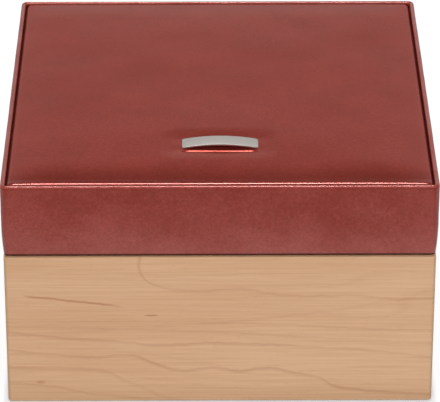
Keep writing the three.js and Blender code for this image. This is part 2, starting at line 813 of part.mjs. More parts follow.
// The padded panel in the rim: a board, foam and leather pulled over both, and the name plate.
function addPaddedPanel(group) {
  const slots = prongSlots();
  const boardInset = leatherThickness + seatGap;
  const boardX = panelHalfX - boardInset;
  const boardY = panelHalfY - boardInset;
  const boardRadius = panelCornerRadius - boardInset;
  const boardProfile = [[0, panelFoot], [0, panelFoot + panelBoardThickness]];
  const panelBoard = solidFrom(loft(2 * boardX, 2 * boardY, boardRadius, boardProfile));
  group.add(piece('panel_board', geometryFrom(cutAll(panelBoard, slots)), panelBoardFinish));
  const panelSize = [2 * panelHalfX, 2 * panelHalfY, panelCornerRadius];
  const foam = solidFrom(loft(...panelSize, foamSpace(seatGap)));
  group.add(piece('panel_foam', geometryFrom(cutAll(foam, slots)), foamFinish));
  const hollow = [[leatherThickness, panelFoot - overrun], ...foamSpace(0)];
  const cover = panelBlock().subtract(solidFrom(loft(...panelSize, hollow)));
  group.add(piece('panel_leather', geometryFrom(cutAll(cover, slots)), roseLeather));
  group.add(piece('name_plate', namePlate(), plateMetal, 0, plateCentreY, plateZ));
}

// Lining boards on the lid's walls above the case's lip, and one under the top board.
function addLidLinings(group) {
  const foot = liningTop + partingGap;
  const top = ceilingFoot - seatGap;
  const [outerX, outerY] = [lidLiningOuterX, lidLiningOuterY];
  const ceilingTop = ceilingFoot + ceilingThickness;
  const ceiling = boxBetween([-outerX, -outerY, ceilingFoot], [outerX, outerY, ceilingTop]);
  group.add(piece('lid_ceiling_lining', ceiling, liningCloth));
  const hanging = (board) => board.rotateX(Math.PI);
  const middleX = outerX - lidLiningThickness / 2;
  const middleY = outerY - lidLiningThickness / 2;
  const crossLining = () => hanging(roundToppedBoard(2 * outerX, top - foot, lidLiningThickness, true));
  const sideLength = 2 * (outerY - lidLiningThickness - seatGap);
  const sideLining = () => hanging(roundToppedBoard(sideLength, top - foot, lidLiningThickness, false));
  group.add(piece('lid_lining_front', crossLining(), liningCloth, 0, -middleY, top));
  group.add(piece('lid_lining_back', crossLining(), liningCloth, 0, middleY, top));
  group.add(piece('lid_lining_left', sideLining(), liningCloth, -middleX, 0, top));
  group.add(piece('lid_lining_right', sideLining(), liningCloth, middleX, 0, top));
}

// The mirror under the lid's ceiling, held by the inner lip of its frame.
function addMirror(group) {
  const top = ceilingFoot - seatGap;
  const glassFoot = top - mirrorThickness;
  const glass = loft(mirrorWidth, mirrorDepth, mirrorCornerRadius, [
    [mirrorBevel, glassFoot],
    [0, glassFoot + mirrorBevel],
    [0, top],
  ]);
  group.add(piece('mirror', glass, mirrorGlass));
  const foot = top - frameHeight;
  const lipTop = glassFoot - seatGap;
  const lipFoot = lipTop - frameLipThickness;
  const profile = [
    ...quarterRoundUnder(frameRound, 0, foot),
    [0, top],
    [frameReach - cutGap, top],
    [frameReach - cutGap, lipTop],
    [frameWidth, lipTop],
    [frameWidth, lipFoot],
    [frameReach, foot],
  ];
  const frameSizeX = mirrorWidth + 2 * frameReach;
  const frameSizeY = mirrorDepth + 2 * frameReach;
  const frame = loft(frameSizeX, frameSizeY, mirrorCornerRadius + frameReach, profile, true);
  group.add(piece('mirror_frame', frame, maple));
}

function addHinges(caseGroup, lidGroup) {
  const names = ['left', 'right'];
  hingePlaces.forEach((x, index) => {
    const side = names[index];
    const caseLeaf = hingeLeaf(false);
    const lidLeaf = hingeLeaf(true);
    caseGroup.add(piece(`hinge_case_leaf_${side}`, caseLeaf, hingeMetal, x, hingeAxisY, hingeAxisZ));
    lidGroup.add(piece(`hinge_lid_leaf_${side}`, lidLeaf, hingeMetal, x, hingeAxisY, hingeAxisZ));
    caseGroup.add(piece(`hinge_pin_${side}`, hingePin(), hingeMetal, x, hingeAxisY, hingeAxisZ));
    screwPlaces(x).forEach((place, end) => {
      const number = 2 * index + end + 1;
      caseGroup.add(piece(`hinge_case_screw_${number}`, woodScrew(), hingeMetal, place, screwY, caseRim));
      const lidScrew = woodScrew().rotateX(Math.PI);
      lidGroup.add(piece(`hinge_lid_screw_${number}`, lidScrew, hingeMetal, place, screwY, lidFoot));
    });
  });
}

// The half-depth tray, at rest against the back lining.
function buildTray() {
  const tray = new THREE.Group();
  const halfX = liningInnerX - slideGap;
  const halfY = trayDepth / 2;
  tray.position.set(0, liningInnerY - slideGap - halfY, trayFoot);
  const innerX = halfX - trayWallThickness;
  const innerY = halfY - trayWallThickness;
  const endWall = () => roundToppedBoard(2 * halfX, trayHeight, trayWallThickness, true);
  const sideLength = 2 * (innerY - seatGap);
  const sideWall = () => roundToppedBoard(sideLength, trayHeight, trayWallThickness, false);
  const wallMiddle = trayWallThickness / 2;
  tray.add(piece('tray_front_wall', endWall(), maple, 0, -halfY + wallMiddle, 0));
  tray.add(piece('tray_back_wall', endWall(), maple, 0, halfY - wallMiddle, 0));
  tray.add(piece('tray_left_wall', sideWall(), maple, -halfX + wallMiddle, 0, 0));
  tray.add(piece('tray_right_wall', sideWall(), maple, halfX - wallMiddle, 0, 0));
  const floorX = innerX - seatGap;
  const floorY = innerY - seatGap;
  const floor = boxBetween([-floorX, -floorY, 0], [floorX, floorY, trayFloorThickness]);
  tray.add(piece('tray_floor', floor, liningCloth));

  const dividerHeight = trayHeight - trayFloorThickness - trayDividerDrop;
  const longDivider = roundToppedBoard(2 * floorY, dividerHeight, trayDividerThickness, false);
  const longX = -innerX + ringSectionWidth + trayDividerThickness / 2;
  const seat = trayFloorThickness + seatGap;
  tray.add(piece('tray_divider_long', longDivider, liningCloth, longX, 0, seat));
  const shortStart = longX + trayDividerThickness / 2 + seatGap;
  const shortLength = floorX - shortStart;
  const shortDivider = roundToppedBoard(shortLength, dividerHeight, trayDividerThickness, true);
  tray.add(piece('tray_divider_short', shortDivider, liningCloth, shortStart + shortLength / 2, 0, seat));

  const pitch = 2 * innerY / ringRollCount;
  const rollMiddleX = -innerX + ringSectionWidth / 2;
  for (let i = 0; i < ringRollCount; i += 1) {
    const y = -innerY + (i + 0.5) * pitch;
    tray.add(piece(`ring_roll_${i + 1}`, ringRoll(pitch - ringRollGap), liningCloth, rollMiddleX, y, seat));
  }
  const tabFoot = trayHeight - pullTabDrop;
  const tabHeight = pullTabDrop + pullTabRise;
  const tab = roundedTab(tabHeight);
  tray.add(piece('pull_tab', tab, roseLeather, 0, -halfY - seatGap, tabFoot));
  return tray;
}

// A ring roll along X: flat below, half-round above, with rounded ends.
function ringRoll(width) {
  const length = ringSectionWidth - 2 * cutGap;
  const half = width / 2;
  const outline = new THREE.Shape();
  outline.moveTo(-half + ringRollFootRound, 0);
  outline.lineTo(half - ringRollFootRound, 0);
  const foot = ringRollFootRound;
  outline.absarc(half - foot, foot, foot, -Math.PI / 2, 0, false);
  outline.absarc(0, ringRollHeight - half, half, 0, Math.PI, false);
  outline.absarc(-half + foot, foot, foot, Math.PI, 1.5 * Math.PI, false);
  outline.closePath();
  const roll = new THREE.ExtrudeGeometry(outline, {
    depth: length - 2 * ringRollEndRound,
    curveSegments: 2 * roundSteps,
    bevelThickness: ringRollEndRound,
    bevelSize: ringRollEndRound,
    bevelOffset: -ringRollEndRound,
    bevelSegments: 2,
  });
  roll.translate(0, 0, ringRollEndRound - length / 2);
  roll.rotateX(Math.PI / 2);
  return geometryFrom(solidFrom(roll.rotateZ(Math.PI / 2)));
}

// The leather tab on the tray's front: a strip with a round top edge.
function roundedTab(height) {
  const half = pullTabWidth / 2;
  const outline = new THREE.Shape();
  outline.moveTo(-half, 0);
  outline.lineTo(half, 0);
  outline.lineTo(half, height - half);
  outline.absarc(0, height - half, half, 0, Math.PI, false);
  outline.closePath();
  const tab = new THREE.ExtrudeGeometry(outline, {
    depth: pullTabThickness,
    bevelEnabled: false,
    curveSegments: 2 * roundSteps,
  });
  return tab.rotateX(Math.PI / 2);
}

const jewelleryBox = new THREE.Group();
const caseGroup = buildCase();
const lidGroup = buildLid();
addHinges(caseGroup, lidGroup);
jewelleryBox.add(caseGroup, lidGroup, buildTray());

export default jewelleryBox;
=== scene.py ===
"""A maple jewellery box with a leather-covered hood lid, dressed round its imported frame.

Blender works in metres. Shapes are worked out here in millimetres, +Z up, with the
front towards -Y, and become metres where a mesh is made.
"""

import json
import math

import bmesh
import bpy
import numpy as np
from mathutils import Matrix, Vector


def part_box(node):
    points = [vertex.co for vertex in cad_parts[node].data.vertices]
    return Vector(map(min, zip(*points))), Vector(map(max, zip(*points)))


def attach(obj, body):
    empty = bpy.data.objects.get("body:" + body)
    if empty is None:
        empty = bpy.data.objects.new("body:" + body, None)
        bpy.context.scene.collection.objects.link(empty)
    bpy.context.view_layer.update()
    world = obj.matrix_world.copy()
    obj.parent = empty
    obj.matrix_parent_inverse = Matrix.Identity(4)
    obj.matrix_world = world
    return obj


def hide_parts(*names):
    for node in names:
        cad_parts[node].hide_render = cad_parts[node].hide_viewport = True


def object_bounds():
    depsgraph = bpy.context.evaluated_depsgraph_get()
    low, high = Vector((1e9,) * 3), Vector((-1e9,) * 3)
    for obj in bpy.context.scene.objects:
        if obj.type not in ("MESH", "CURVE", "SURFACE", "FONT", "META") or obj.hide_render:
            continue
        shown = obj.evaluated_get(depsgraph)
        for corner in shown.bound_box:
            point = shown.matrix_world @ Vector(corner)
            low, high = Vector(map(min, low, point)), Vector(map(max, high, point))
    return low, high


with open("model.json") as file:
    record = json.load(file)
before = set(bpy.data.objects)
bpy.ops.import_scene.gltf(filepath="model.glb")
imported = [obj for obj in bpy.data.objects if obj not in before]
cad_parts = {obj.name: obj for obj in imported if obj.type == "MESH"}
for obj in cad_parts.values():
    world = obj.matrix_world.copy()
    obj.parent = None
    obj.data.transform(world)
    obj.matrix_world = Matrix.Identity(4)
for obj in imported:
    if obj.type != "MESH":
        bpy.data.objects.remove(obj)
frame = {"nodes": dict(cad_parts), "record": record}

cad_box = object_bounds()
MILLIMETRE = 0.001

# Two points this close make a crisp edge, and an eased edge passes its corner at this share
CLOSE = 0.01
BEVEL_SHARE = 0.3

# Cloth simulation: its length and pressure, and the even grid that stands for the panel
SIMULATED_FRAMES = 20
CLOTH_PRESSURE = 4
PAD_SWELL = 1.2
PAD_GRID = 73
ROLL_SWELL = 0.35
HELD_EDGE = 1

# Boards and slabs
BOARD_STEP = 5
BOARD_EASE = 0.3
BOARD_END = 0.35
SLAB_STEP = 6
SLAB_CAP = 3
SLAB_MIDDLE = 1

# Lid leather
LEATHER = 0.9
LID_CORNER = 3.5
TUCK = 1.1
WALL_TUCK = 0.7
TUCK_HEIGHT = 18
RIM_WIDTH = 2.5
RIM_DEPTH = 4.6
RIM_LIFT = 0.45
FLANGE_WIDTH = 8
TURN_IN = 9.05
LOWER_EDGE_ROUND = 1.2
LOWER_EDGE_DROP = 0.4
BAND_STEP = 2.5
BAND_UNEVEN = 0.12
UNEVEN_FROM = 2
GROOVE_ROUND = 0.5
GROOVE_MOUTH = 1
SEAM_DEPTH = 0.22
SEAM_WIDTH = 0.35

# Padded panel
PANEL_FILL = 0.4
PANEL_STEP = 1.5
PANEL_UNEVEN = 0.10
PANEL_CALM = 12
PANEL_EDGE = 2.1
PANEL_CORNER = 3
CROWN_RISE = 1.8
CROWN_REACH = 24
DIP_DEPTH = 1.15
DIP_REACH = 13
LIP_HALF = 20
LIP_HEIGHT = 0.62
LIP_AHEAD = 2.9
LIP_SOFT = 0.62
LIP_END = 4
FINE_STEP = 0.25
FINE_AHEAD = 2.2
FINE_BEHIND = 3
CHANNEL_DEPTH = 0.7
CHANNEL_SOFT = 2.2
FOAM_STEP = 4
FOAM_BELOW = 0.2

# Name plate
PLATE_SEAT = np.array([0.35, -1.2, -0.3])
PLATE_THICKNESS = 0.9
PLATE_BOW = 1.9
PLATE_CORNER = 1.1
PLATE_EASE = 0.28
PRONG_INSET = 1.6
PRONG_WIDTH = 4
PRONG_THICKNESS = 1.2
PRONG_EASE = 0.3

# Mirror frame
FRAME_CORNER = 12
FRAME_ROUND = 1.4
FRAME_STEP = 8
FRAME_LIP = 0.3

# The frame's face, as [inset, height] from the glass's edge and the frame's foot
FRAME_FACE = np.array([[-1.2, 0], [0, 0.12], [1.4, 0.9], [2, 1.5]])

# Case
CASE_SWELL = 0.6
CASE_WALL = 9 + CASE_SWELL
CASE_CORNER = 2.2
CASE_REBATE = 4
FOOT_ROUND = 0.5
RIM_ROUND = 0.7
MITRE_GAP = 0.12
CASE_STEP = 6
BASE_ROOM = 0.15
INNER_EASE = 0.3
DIVIDER_NOTCH = 1.8

# Ring rolls
ROLL_EASE = 2.4
ROLL_END = 3.2
ROLL_FOOT = 1.5
ROLL_UNEVEN = 0.25
GATHER_DEPTH = 0.35
GATHER_INSET = 0.6
GATHER_WIDTH = 0.5

# Pull tab
TAB_EASE = 0.4
TAB_CORNER = 1
TAB_MIDDLE = 3
STITCH_INSET = 1.9
STITCH_PITCH = 2.3
STITCH_LENGTH = 1.5
THREAD_RADIUS = 0.24
THREAD_SUNK = 0.02

# Hinges
HINGE_HALF = 18.3
LEAF_DEPTH = 7.7 + CASE_SWELL
LEAF_SEAT = 1.35
LEAF_ROOM = 0.02
SCREW_EASE = 0.12
SCREW_NECK = 1
SCREW_TIP = 1.4
SCREW_POINT = 0.02
SHANK_RADIUS = 0.9
SLOT_HALF = 0.36
SLOT_WALL = 0.08
SLOT_DEPTH = 0.45


# Shapes


def box_of(node):
    """A node's low and high corners at rest, in millimetres."""
    low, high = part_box(node)
    return np.array(low) / MILLIMETRE, np.array(high) / MILLIMETRE


def grid_faces(rows, columns, closed_rows=False, closed_columns=False):
    """Quads between neighbouring points of a grid, wrapping where it is closed."""
    row = np.arange(rows if closed_rows else rows - 1)
    column = np.arange(columns if closed_columns else columns - 1)
    r, c = np.meshgrid(row, column, indexing="ij")
    next_r, next_c = (r + 1) % rows, (c + 1) % columns
    corners = [r * columns + c, r * columns + next_c, next_r * columns + next_c, next_r * columns + c]
    return np.stack(corners, -1).reshape(-1, 4).tolist()


def tube_faces(rows, columns):
    """The faces of a closed tube of rings: the quads round it, then its first and last ring."""
    ends = [list(range(columns)), list(range((rows - 1) * columns, rows * columns))]
    return grid_faces(rows, columns, closed_columns=True) + ends


def make_piece(name, points, faces, material, body, replaces=(), smooth=40):
    """A closed mesh from points in millimetres, with doubles merged and faces outwards."""
    mesh = bpy.data.meshes.new(name)
    mesh.from_pydata((np.asarray(points).reshape(-1, 3) * MILLIMETRE).tolist(), [], faces)
    shape = bmesh.new()
    shape.from_mesh(mesh)
    bmesh.ops.remove_doubles(shape, verts=shape.verts, dist=1e-6)
    bmesh.ops.dissolve_degenerate(shape, edges=shape.edges, dist=1e-6)
    bmesh.ops.recalc_face_normals(shape, faces=shape.faces)
    shape.to_mesh(mesh)
    shape.free()
    mesh.polygons.foreach_set("use_smooth", np.ones(len(mesh.polygons), bool))
    mesh.set_sharp_from_angle(angle=math.radians(smooth))
    mesh.materials.append(material)
    piece = bpy.data.objects.new(name, mesh)
    bpy.context.scene.collection.objects.link(piece)
    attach(piece, body)
    if replaces:
        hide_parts(*replaces)
    return piece


def arc(radius, start, end, steps):
    """Points of a circle's arc round zero, by angle in quarter turns."""
    angle = np.linspace(start, end, steps + 1) * math.pi / 2
    return np.stack([radius * np.cos(angle), radius * np.sin(angle)], -1)


def outline(stations_x, stations_y, corner_steps=10):
    """Anchors and outward normals round a rounded rectangle, anticlockwise from the front.

    A side's anchors run along it, and a corner's stand far out, so that carry can pull
    them back to where its arc begins.
    """
    far = 1e4
    anchors, normals = [], []
    quarter = np.linspace(0, math.pi / 2, corner_steps + 2)[1:-1]
    for side in range(4):
        turn = side * math.pi / 2
        stations = stations_x if side % 2 == 0 else stations_y
        along = np.stack([stations, np.full(len(stations), -far)], -1)
        corner = np.tile([far, -far], (corner_steps, 1))
        facing = np.tile([0.0, -1.0], (len(stations), 1))
        bend = np.stack([np.sin(quarter), -np.cos(quarter)], -1)
        spin = np.array([[math.cos(turn), math.sin(turn)], [-math.sin(turn), math.cos(turn)]])
        anchors += [along @ spin, corner @ spin]
        normals += [facing @ spin, bend @ spin]
    return np.concatenate(anchors), np.concatenate(normals)


def carry(profile, path, half, radius, least=0.4):
    """A profile of [inset, height] carried round an outline: rows follow the profile.

    Each point is its anchor, held inside the arcs' centres for that inset, plus the
    outward normal times what is left of the corner radius.
    """
    anchors, normals = path
    profile = np.asarray(profile, float)
    inset, height = profile[:, 0, None], profile[:, 1, None]
    rest = np.maximum(radius - inset, least)
    x = np.clip(anchors[:, 0], -(half[0] - inset - rest), half[0] - inset - rest)
    y = np.clip(anchors[:, 1], -(half[1] - inset - rest), half[1] - inset - rest)
    x = x + normals[:, 0] * rest
    y = y + normals[:, 1] * rest
    return np.stack([x, y, np.broadcast_to(height, x.shape)], -1)


def stations(half, step, marks=()):
    """Places along a side: even steps, with a pair of close ones at each mark."""
    even = np.linspace(-half, half, int(2 * half / step) + 1)
    pairs = [mark + shift for mark in marks for shift in (-CLOSE, CLOSE)]
    clear = [x for x in even if all(abs(x - mark) > step / 4 for mark in marks)]
    return np.array(sorted(clear + pairs))


def leaf_marks(node):
    """Where the places for the two hinge leaves begin and end along the back, from X's low end."""
    low, high = box_of(node)
    middle = (low[0] + high[0]) / 2
    return [side * middle + edge for side in (-1, 1) for edge in (-HINGE_HALF, HINGE_HALF)]


def at_leaf(anchor, marks):
    """Which anchors along the back are at a hinge leaf."""
    left, right = marks[:2], marks[2:]
    return ((anchor > left[0]) & (anchor < left[1])) | ((anchor > right[0]) & (anchor < right[1]))


def ripple(x, y, z, size):
    """A gentle unevenness: a few crossing waves of unlike lengths, at most the given size."""
    wave = np.sin(0.071 * x + 0.113 * y) + np.sin(0.157 * y - 0.049 * x + 1.3)
    wave += np.sin(0.205 * x + 0.19 * z + 2.1) + np.sin(0.31 * z + 0.067 * x - 0.043 * y)
    return size * wave / 4


def stuffed(points, faces, held, swell):
    """A closed skin in millimetres, pushed out from inside by a cloth simulation.

    Held points stay where they are and the others settle under the stuffing's pressure,
    with gravity off. Their movement is scaled so that the furthest goes the swell.
    """
    scene = bpy.context.scene
    mesh = bpy.data.meshes.new("stuffing")
    mesh.from_pydata((points * MILLIMETRE).tolist(), [], faces)
    shape = bmesh.new()
    shape.from_mesh(mesh)
    bmesh.ops.recalc_face_normals(shape, faces=shape.faces)
    shape.to_mesh(mesh)
    shape.free()
    skin = bpy.data.objects.new("stuffing", mesh)
    scene.collection.objects.link(skin)
    pins = skin.vertex_groups.new(name="held")
    pins.add(np.flatnonzero(held).tolist(), 1.0, "REPLACE")
    cloth = skin.modifiers.new("stuffing", "CLOTH")
    cloth.settings.use_pressure = True
    cloth.settings.uniform_pressure_force = CLOTH_PRESSURE
    cloth.settings.vertex_group_mass = "held"
    cloth.settings.effector_weights.gravity = 0
    cloth.point_cache.frame_start = 1
    cloth.point_cache.frame_end = SIMULATED_FRAMES
    for moment in range(1, SIMULATED_FRAMES + 1):
        scene.frame_set(moment)
    settled = skin.evaluated_get(bpy.context.evaluated_depsgraph_get()).data
    after = np.empty(len(points) * 3)
    settled.vertices.foreach_get("co", after)
    bpy.data.objects.remove(skin)
    bpy.data.meshes.remove(mesh)
    scene.frame_set(1)
    moved = np.nan_to_num(after.reshape(-1, 3) / MILLIMETRE - points)
    moved[held] = 0
    furthest = max(np.linalg.norm(moved, axis=1).max(), 1e-6)
    return points + moved * swell / furthest


def between(field, row, column):
    """A grid's values at fractional rows and columns: Catmull-Rom curves both ways."""
    total = np.zeros(np.broadcast(row, column).shape)
    row, column = np.clip(row, 0, field.shape[0] - 1), np.clip(column, 0, field.shape[1] - 1)
    first_row, first_column = np.floor(row).astype(int), np.floor(column).astype(int)
    for down, row_share in enumerate(curve_shares(row - first_row), -1):
        for over, column_share in enumerate(curve_shares(column - first_column), -1):
            r = np.clip(first_row + down, 0, field.shape[0] - 1)
            c = np.clip(first_column + over, 0, field.shape[1] - 1)
            total = total + field[r, c] * row_share * column_share
    return total


def curve_shares(t):
    """The four weights of a Catmull-Rom curve at a place t from 0 to 1."""
    return [
        (-t + 2 * t**2 - t**3) / 2, (2 - 5 * t**2 + 3 * t**3) / 2,
        (t + 4 * t**2 - 3 * t**3) / 2, (-(t**2) + t**3) / 2]


def rounded_run(half, radius, end_steps, steps):
    """Places along a length, and how far each is drawn in: a quarter circle at each end."""
    ends = half - radius + radius * np.sin(np.linspace(0, 1, end_steps) * math.pi / 2)
    place = np.concatenate([-ends[::-1], np.linspace(-ends[0], ends[0], steps)[1:-1], ends])
    past = np.maximum(np.abs(place) - (half - radius), 0)
    return place, radius - np.sqrt(np.maximum(radius**2 - past**2, 0))


def slab(name, node, material, body, corner, edge, under=0.3, crown=0):
    """A soft-edged slab in a node's box.

    The profile rounds the top edge on a quarter circle, and from there a parabola rises
    by the crown to the middle.
    """
    low, high = box_of(node)
    half = (high - low)[:2] / 2
    profile = [[edge / 2 + SLAB_CAP, low[2]], [under, low[2]], [0, low[2] + under]]
    profile += [[edge - x, high[2] - crown - edge + y] for x, y in arc(edge, 0, 1, 6)]
    reach = min(half) - edge - SLAB_MIDDLE
    share = np.linspace(0, 1, 14)[1:]
    profile += [[edge + s * reach, high[2] - crown * (1 - s) ** 2] for s in share]
    path = outline(stations(half[0], SLAB_STEP), stations(half[1], SLAB_STEP), 6)
    points = carry(profile, path, half, corner)
    points[..., :2] += (low[:2] + high[:2]) / 2
    return make_piece(name, points, tube_faces(*points.shape[:2]), material, body, [node])


def board(name, node, material, body, hanging=False, top=None, notches=(), from_top=True):
    """A board on edge in a node's box: its section, carried along its longer side.

    The section is a rectangle with a round top edge and eased lower corners. At each end
    it draws in on a small quarter circle, and a notch cuts it at half its height.
    """
    low, high = box_of(node)
    along = 0 if high[0] - low[0] > high[1] - low[1] else 1
    across = 1 - along
    thick, tall = high[across] - low[across], high[2] - low[2]
    round_top = thick / 2 if top is None else top
    head = arc(round_top, 0, 1, 6) + [thick / 2 - round_top, tall - round_top]
    foot = arc(BOARD_EASE, 3, 4, 3) + [thick / 2 - BOARD_EASE, BOARD_EASE]
    right = np.concatenate([foot, head])
    section = np.concatenate([right, right[::-1] * [-1, 1]])
    if hanging:
        section[:, 1] = tall - section[:, 1]
    marks = [place + shift for place, half in notches for shift in (-half, half)]
    flat = (high[along] - low[along]) / 2 - BOARD_END
    even = stations(flat, BOARD_STEP, marks)[1:-1]
    quarter = arc(BOARD_END, 0, 1, 4)
    place = np.concatenate([-flat - quarter[:, 0], even, flat + quarter[::-1, 0]])
    drawn = np.concatenate([BOARD_END - quarter[:, 1], 0 * even, BOARD_END - quarter[::-1, 1]])
    points = np.zeros((len(place), len(section), 3))
    points[..., along] = place[:, None]
    points[..., across] = section[:, 0] * (1 - drawn[:, None] / (thick / 2))
    points[..., 2] = tall / 2 + (section[:, 1] - tall / 2) * (1 - drawn[:, None] / (tall / 2))
    cut = np.minimum if from_top else np.maximum
    for middle, half in notches:
        inside = np.abs(place - middle) < half
        points[inside, :, 2] = cut(points[inside, :, 2], tall / 2)
    points[..., :2] += (low[:2] + high[:2]) / 2
    points[..., 2] += low[2]
    make_piece(name, points, tube_faces(*points.shape[:2]), material, body, [node])


# Finishes


class Value:
    """A shader socket whose arithmetic adds Math nodes."""

    def __init__(self, graph, socket):
        self.graph, self.socket = graph, socket

    def sum(self, operation, *terms):
        return self.graph.node("ShaderNodeMath", {"operation": operation}, dict(enumerate(terms)))

    def __add__(self, other):
        return self.sum("ADD", self, other)

    def __sub__(self, other):
        return self.sum("SUBTRACT", self, other)

    def __rsub__(self, other):
        return self.sum("SUBTRACT", other, self)

    def __mul__(self, other):
        return self.sum("MULTIPLY", self, other)

    def __truediv__(self, other):
        return self.sum("DIVIDE", self, other)

    def __pow__(self, other):
        return self.sum("POWER", self, other)

    def __abs__(self):
        return self.sum("ABSOLUTE", self)

    __radd__ = __add__
    __rmul__ = __mul__

    def fraction(self):
        return self.sum("FRACT", self)

    def highest(self, other):
        return self.sum("MAXIMUM", self, other)

    def step(self, start, end, low=0.0, high=1.0):
        """A smooth step from low at the start to high at the end."""
        settings = {"interpolation_type": "SMOOTHSTEP"}
        inputs = {"Value": self, "From Min": start, "From Max": end, "To Min": low, "To Max": high}
        return self.graph.node("ShaderNodeMapRange", settings, inputs)


class Graph:
    """The nodes of one finish."""

    def __init__(self, owner):
        owner.use_nodes = True
        self.owner, self.tree = owner, owner.node_tree
        self.tree.nodes.clear()

    def node(self, kind, settings=None, inputs=None, output=0):
        """Adds a node: its settings first, then a value or a link for each socket."""
        made = self.tree.nodes.new(kind)
        for key, setting in (settings or {}).items():
            if key == "curve":
                draw_curve(made.mapping, setting)
            else:
                setattr(made, key, setting)
        for key, value in (inputs or {}).items():
            if isinstance(value, Value):
                self.tree.links.new(value.socket, made.inputs[key])
            else:
                made.inputs[key].default_value = value
        return Value(self, made.outputs[output]) if made.outputs else None

    def place(self, turn=0.0, shift=(0.0, 0.0, 0.0)):
        """Object coordinates in metres, shifted, and turned about Z by an angle in degrees."""
        where = self.node("ShaderNodeTexCoord", output=3)
        inputs = {"Vector": where, "Location": shift, "Rotation": (0.0, 0.0, math.radians(turn))}
        return self.node("ShaderNodeMapping", None, inputs)

    def stretched(self, vector, scale):
        return self.node("ShaderNodeVectorMath", {"operation": "MULTIPLY"}, {0: vector, 1: scale})

    def parts(self, vector):
        """The three numbers of a vector."""
        apart = self.node("ShaderNodeSeparateXYZ", None, {0: vector}).socket.node
        return [Value(self, socket) for socket in apart.outputs]

    def noise(self, vector, scale, detail=2.0, rough=0.5, bend=0.0):
        inputs = {
            "Vector": vector, "Scale": scale, "Detail": detail, "Roughness": rough, "Distortion": bend}
        return self.node("ShaderNodeTexNoise", None, inputs)

    def cells(self, vector, scale):
        return self.node("ShaderNodeTexVoronoi", None, {"Vector": vector, "Scale": scale})

    def blend(self, factor, first, second, how="MIX"):
        """A colour between two, or two colours put together another way."""
        settings = {"data_type": "RGBA", "blend_type": how}
        return self.node("ShaderNodeMix", settings, {0: factor, 6: first, 7: second}, 2)

    def bump(self, height, depth, strength=1.0, under=None):
        """A normal from a height, its depth in metres."""
        inputs = {"Strength": strength, "Distance": depth, "Height": height}
        if under is not None:
            inputs["Normal"] = under
        return self.node("ShaderNodeBump", None, inputs)

    def surface(self, inputs):
        shader = self.node("ShaderNodeBsdfPrincipled", None, inputs)
        self.node("ShaderNodeOutputMaterial", None, {"Surface": shader})
        return self.owner


def draw_curve(mapping, points):
    """Puts a smooth curve through points from 0 to 1 into a curve node."""
    line = mapping.curves[0]
    for place, (x, y) in enumerate(points):
        if place < 2:
            line.points[place].location = (x, y)
        else:
            line.points.new(x, y)
    mapping.update()


def rgb(red, green, blue):
    return (red, green, blue, 1.0)


def new_graph(name):
    return Graph(bpy.data.materials.new(name))


WHITE, BLACK = rgb(1.0, 1.0, 1.0), rgb(0.0, 0.0, 0.0)
LEATHER_DARK, LEATHER_PALE = rgb(0.245, 0.030, 0.018), rgb(0.330, 0.045, 0.030)
PANEL_DARK, PANEL_PALE = rgb(0.240, 0.028, 0.017), rgb(0.325, 0.043, 0.028)
LEATHER_PITS = rgb(0.180, 0.020, 0.013)
# The colour of painted shade at the lid's lower edge by its seam and in the groove by the rim
PAINTED_GAP_SHADE = rgb(0.050, 0.006, 0.002)
# The colour of painted shade behind the padded panel's front edge
PAINTED_EDGE_SHADE = rgb(0.100, 0.009, 0.005)
LEATHER_SHINE = rgb(1.0, 0.85, 0.8)
LINE_BROWN, STREAK_RED = rgb(0.36, 0.165, 0.080), rgb(0.37, 0.135, 0.060)

# The lid's outline from its middle, and where painted shade darkens the leather near its edges and
# where its front edge is polished, in metres.
# A change is [start, end, value before, value after], or from 0 to 1 with no values given.
OUTLINE_HALF = (0.110, 0.114)
GROOVE_INSET = (-0.0026, -0.0021, 1.0, 0.0)
GROOVE_DEPTH = 0.0012
GROOVE_PAINTED_SHADE = 0.75
LOWER_EDGE_PAINTED_SHADE = (0.0010, 0.0020, 0.9, 0.0)
PANEL_PAINTED_SHADE = (0.004, 0.020, 0.34, 0.0)
PANEL_FOLD = (0.0015, 0.0035)
PANEL_POLISH = (0.003, 0.006, 0.9, 0.08)


def past_outline(across, deep):
    """How far a place lies outside the lid's outline, in metres, and below 0 inside it."""
    return (abs(across) - OUTLINE_HALF[0]).highest(abs(deep) - OUTLINE_HALF[1])


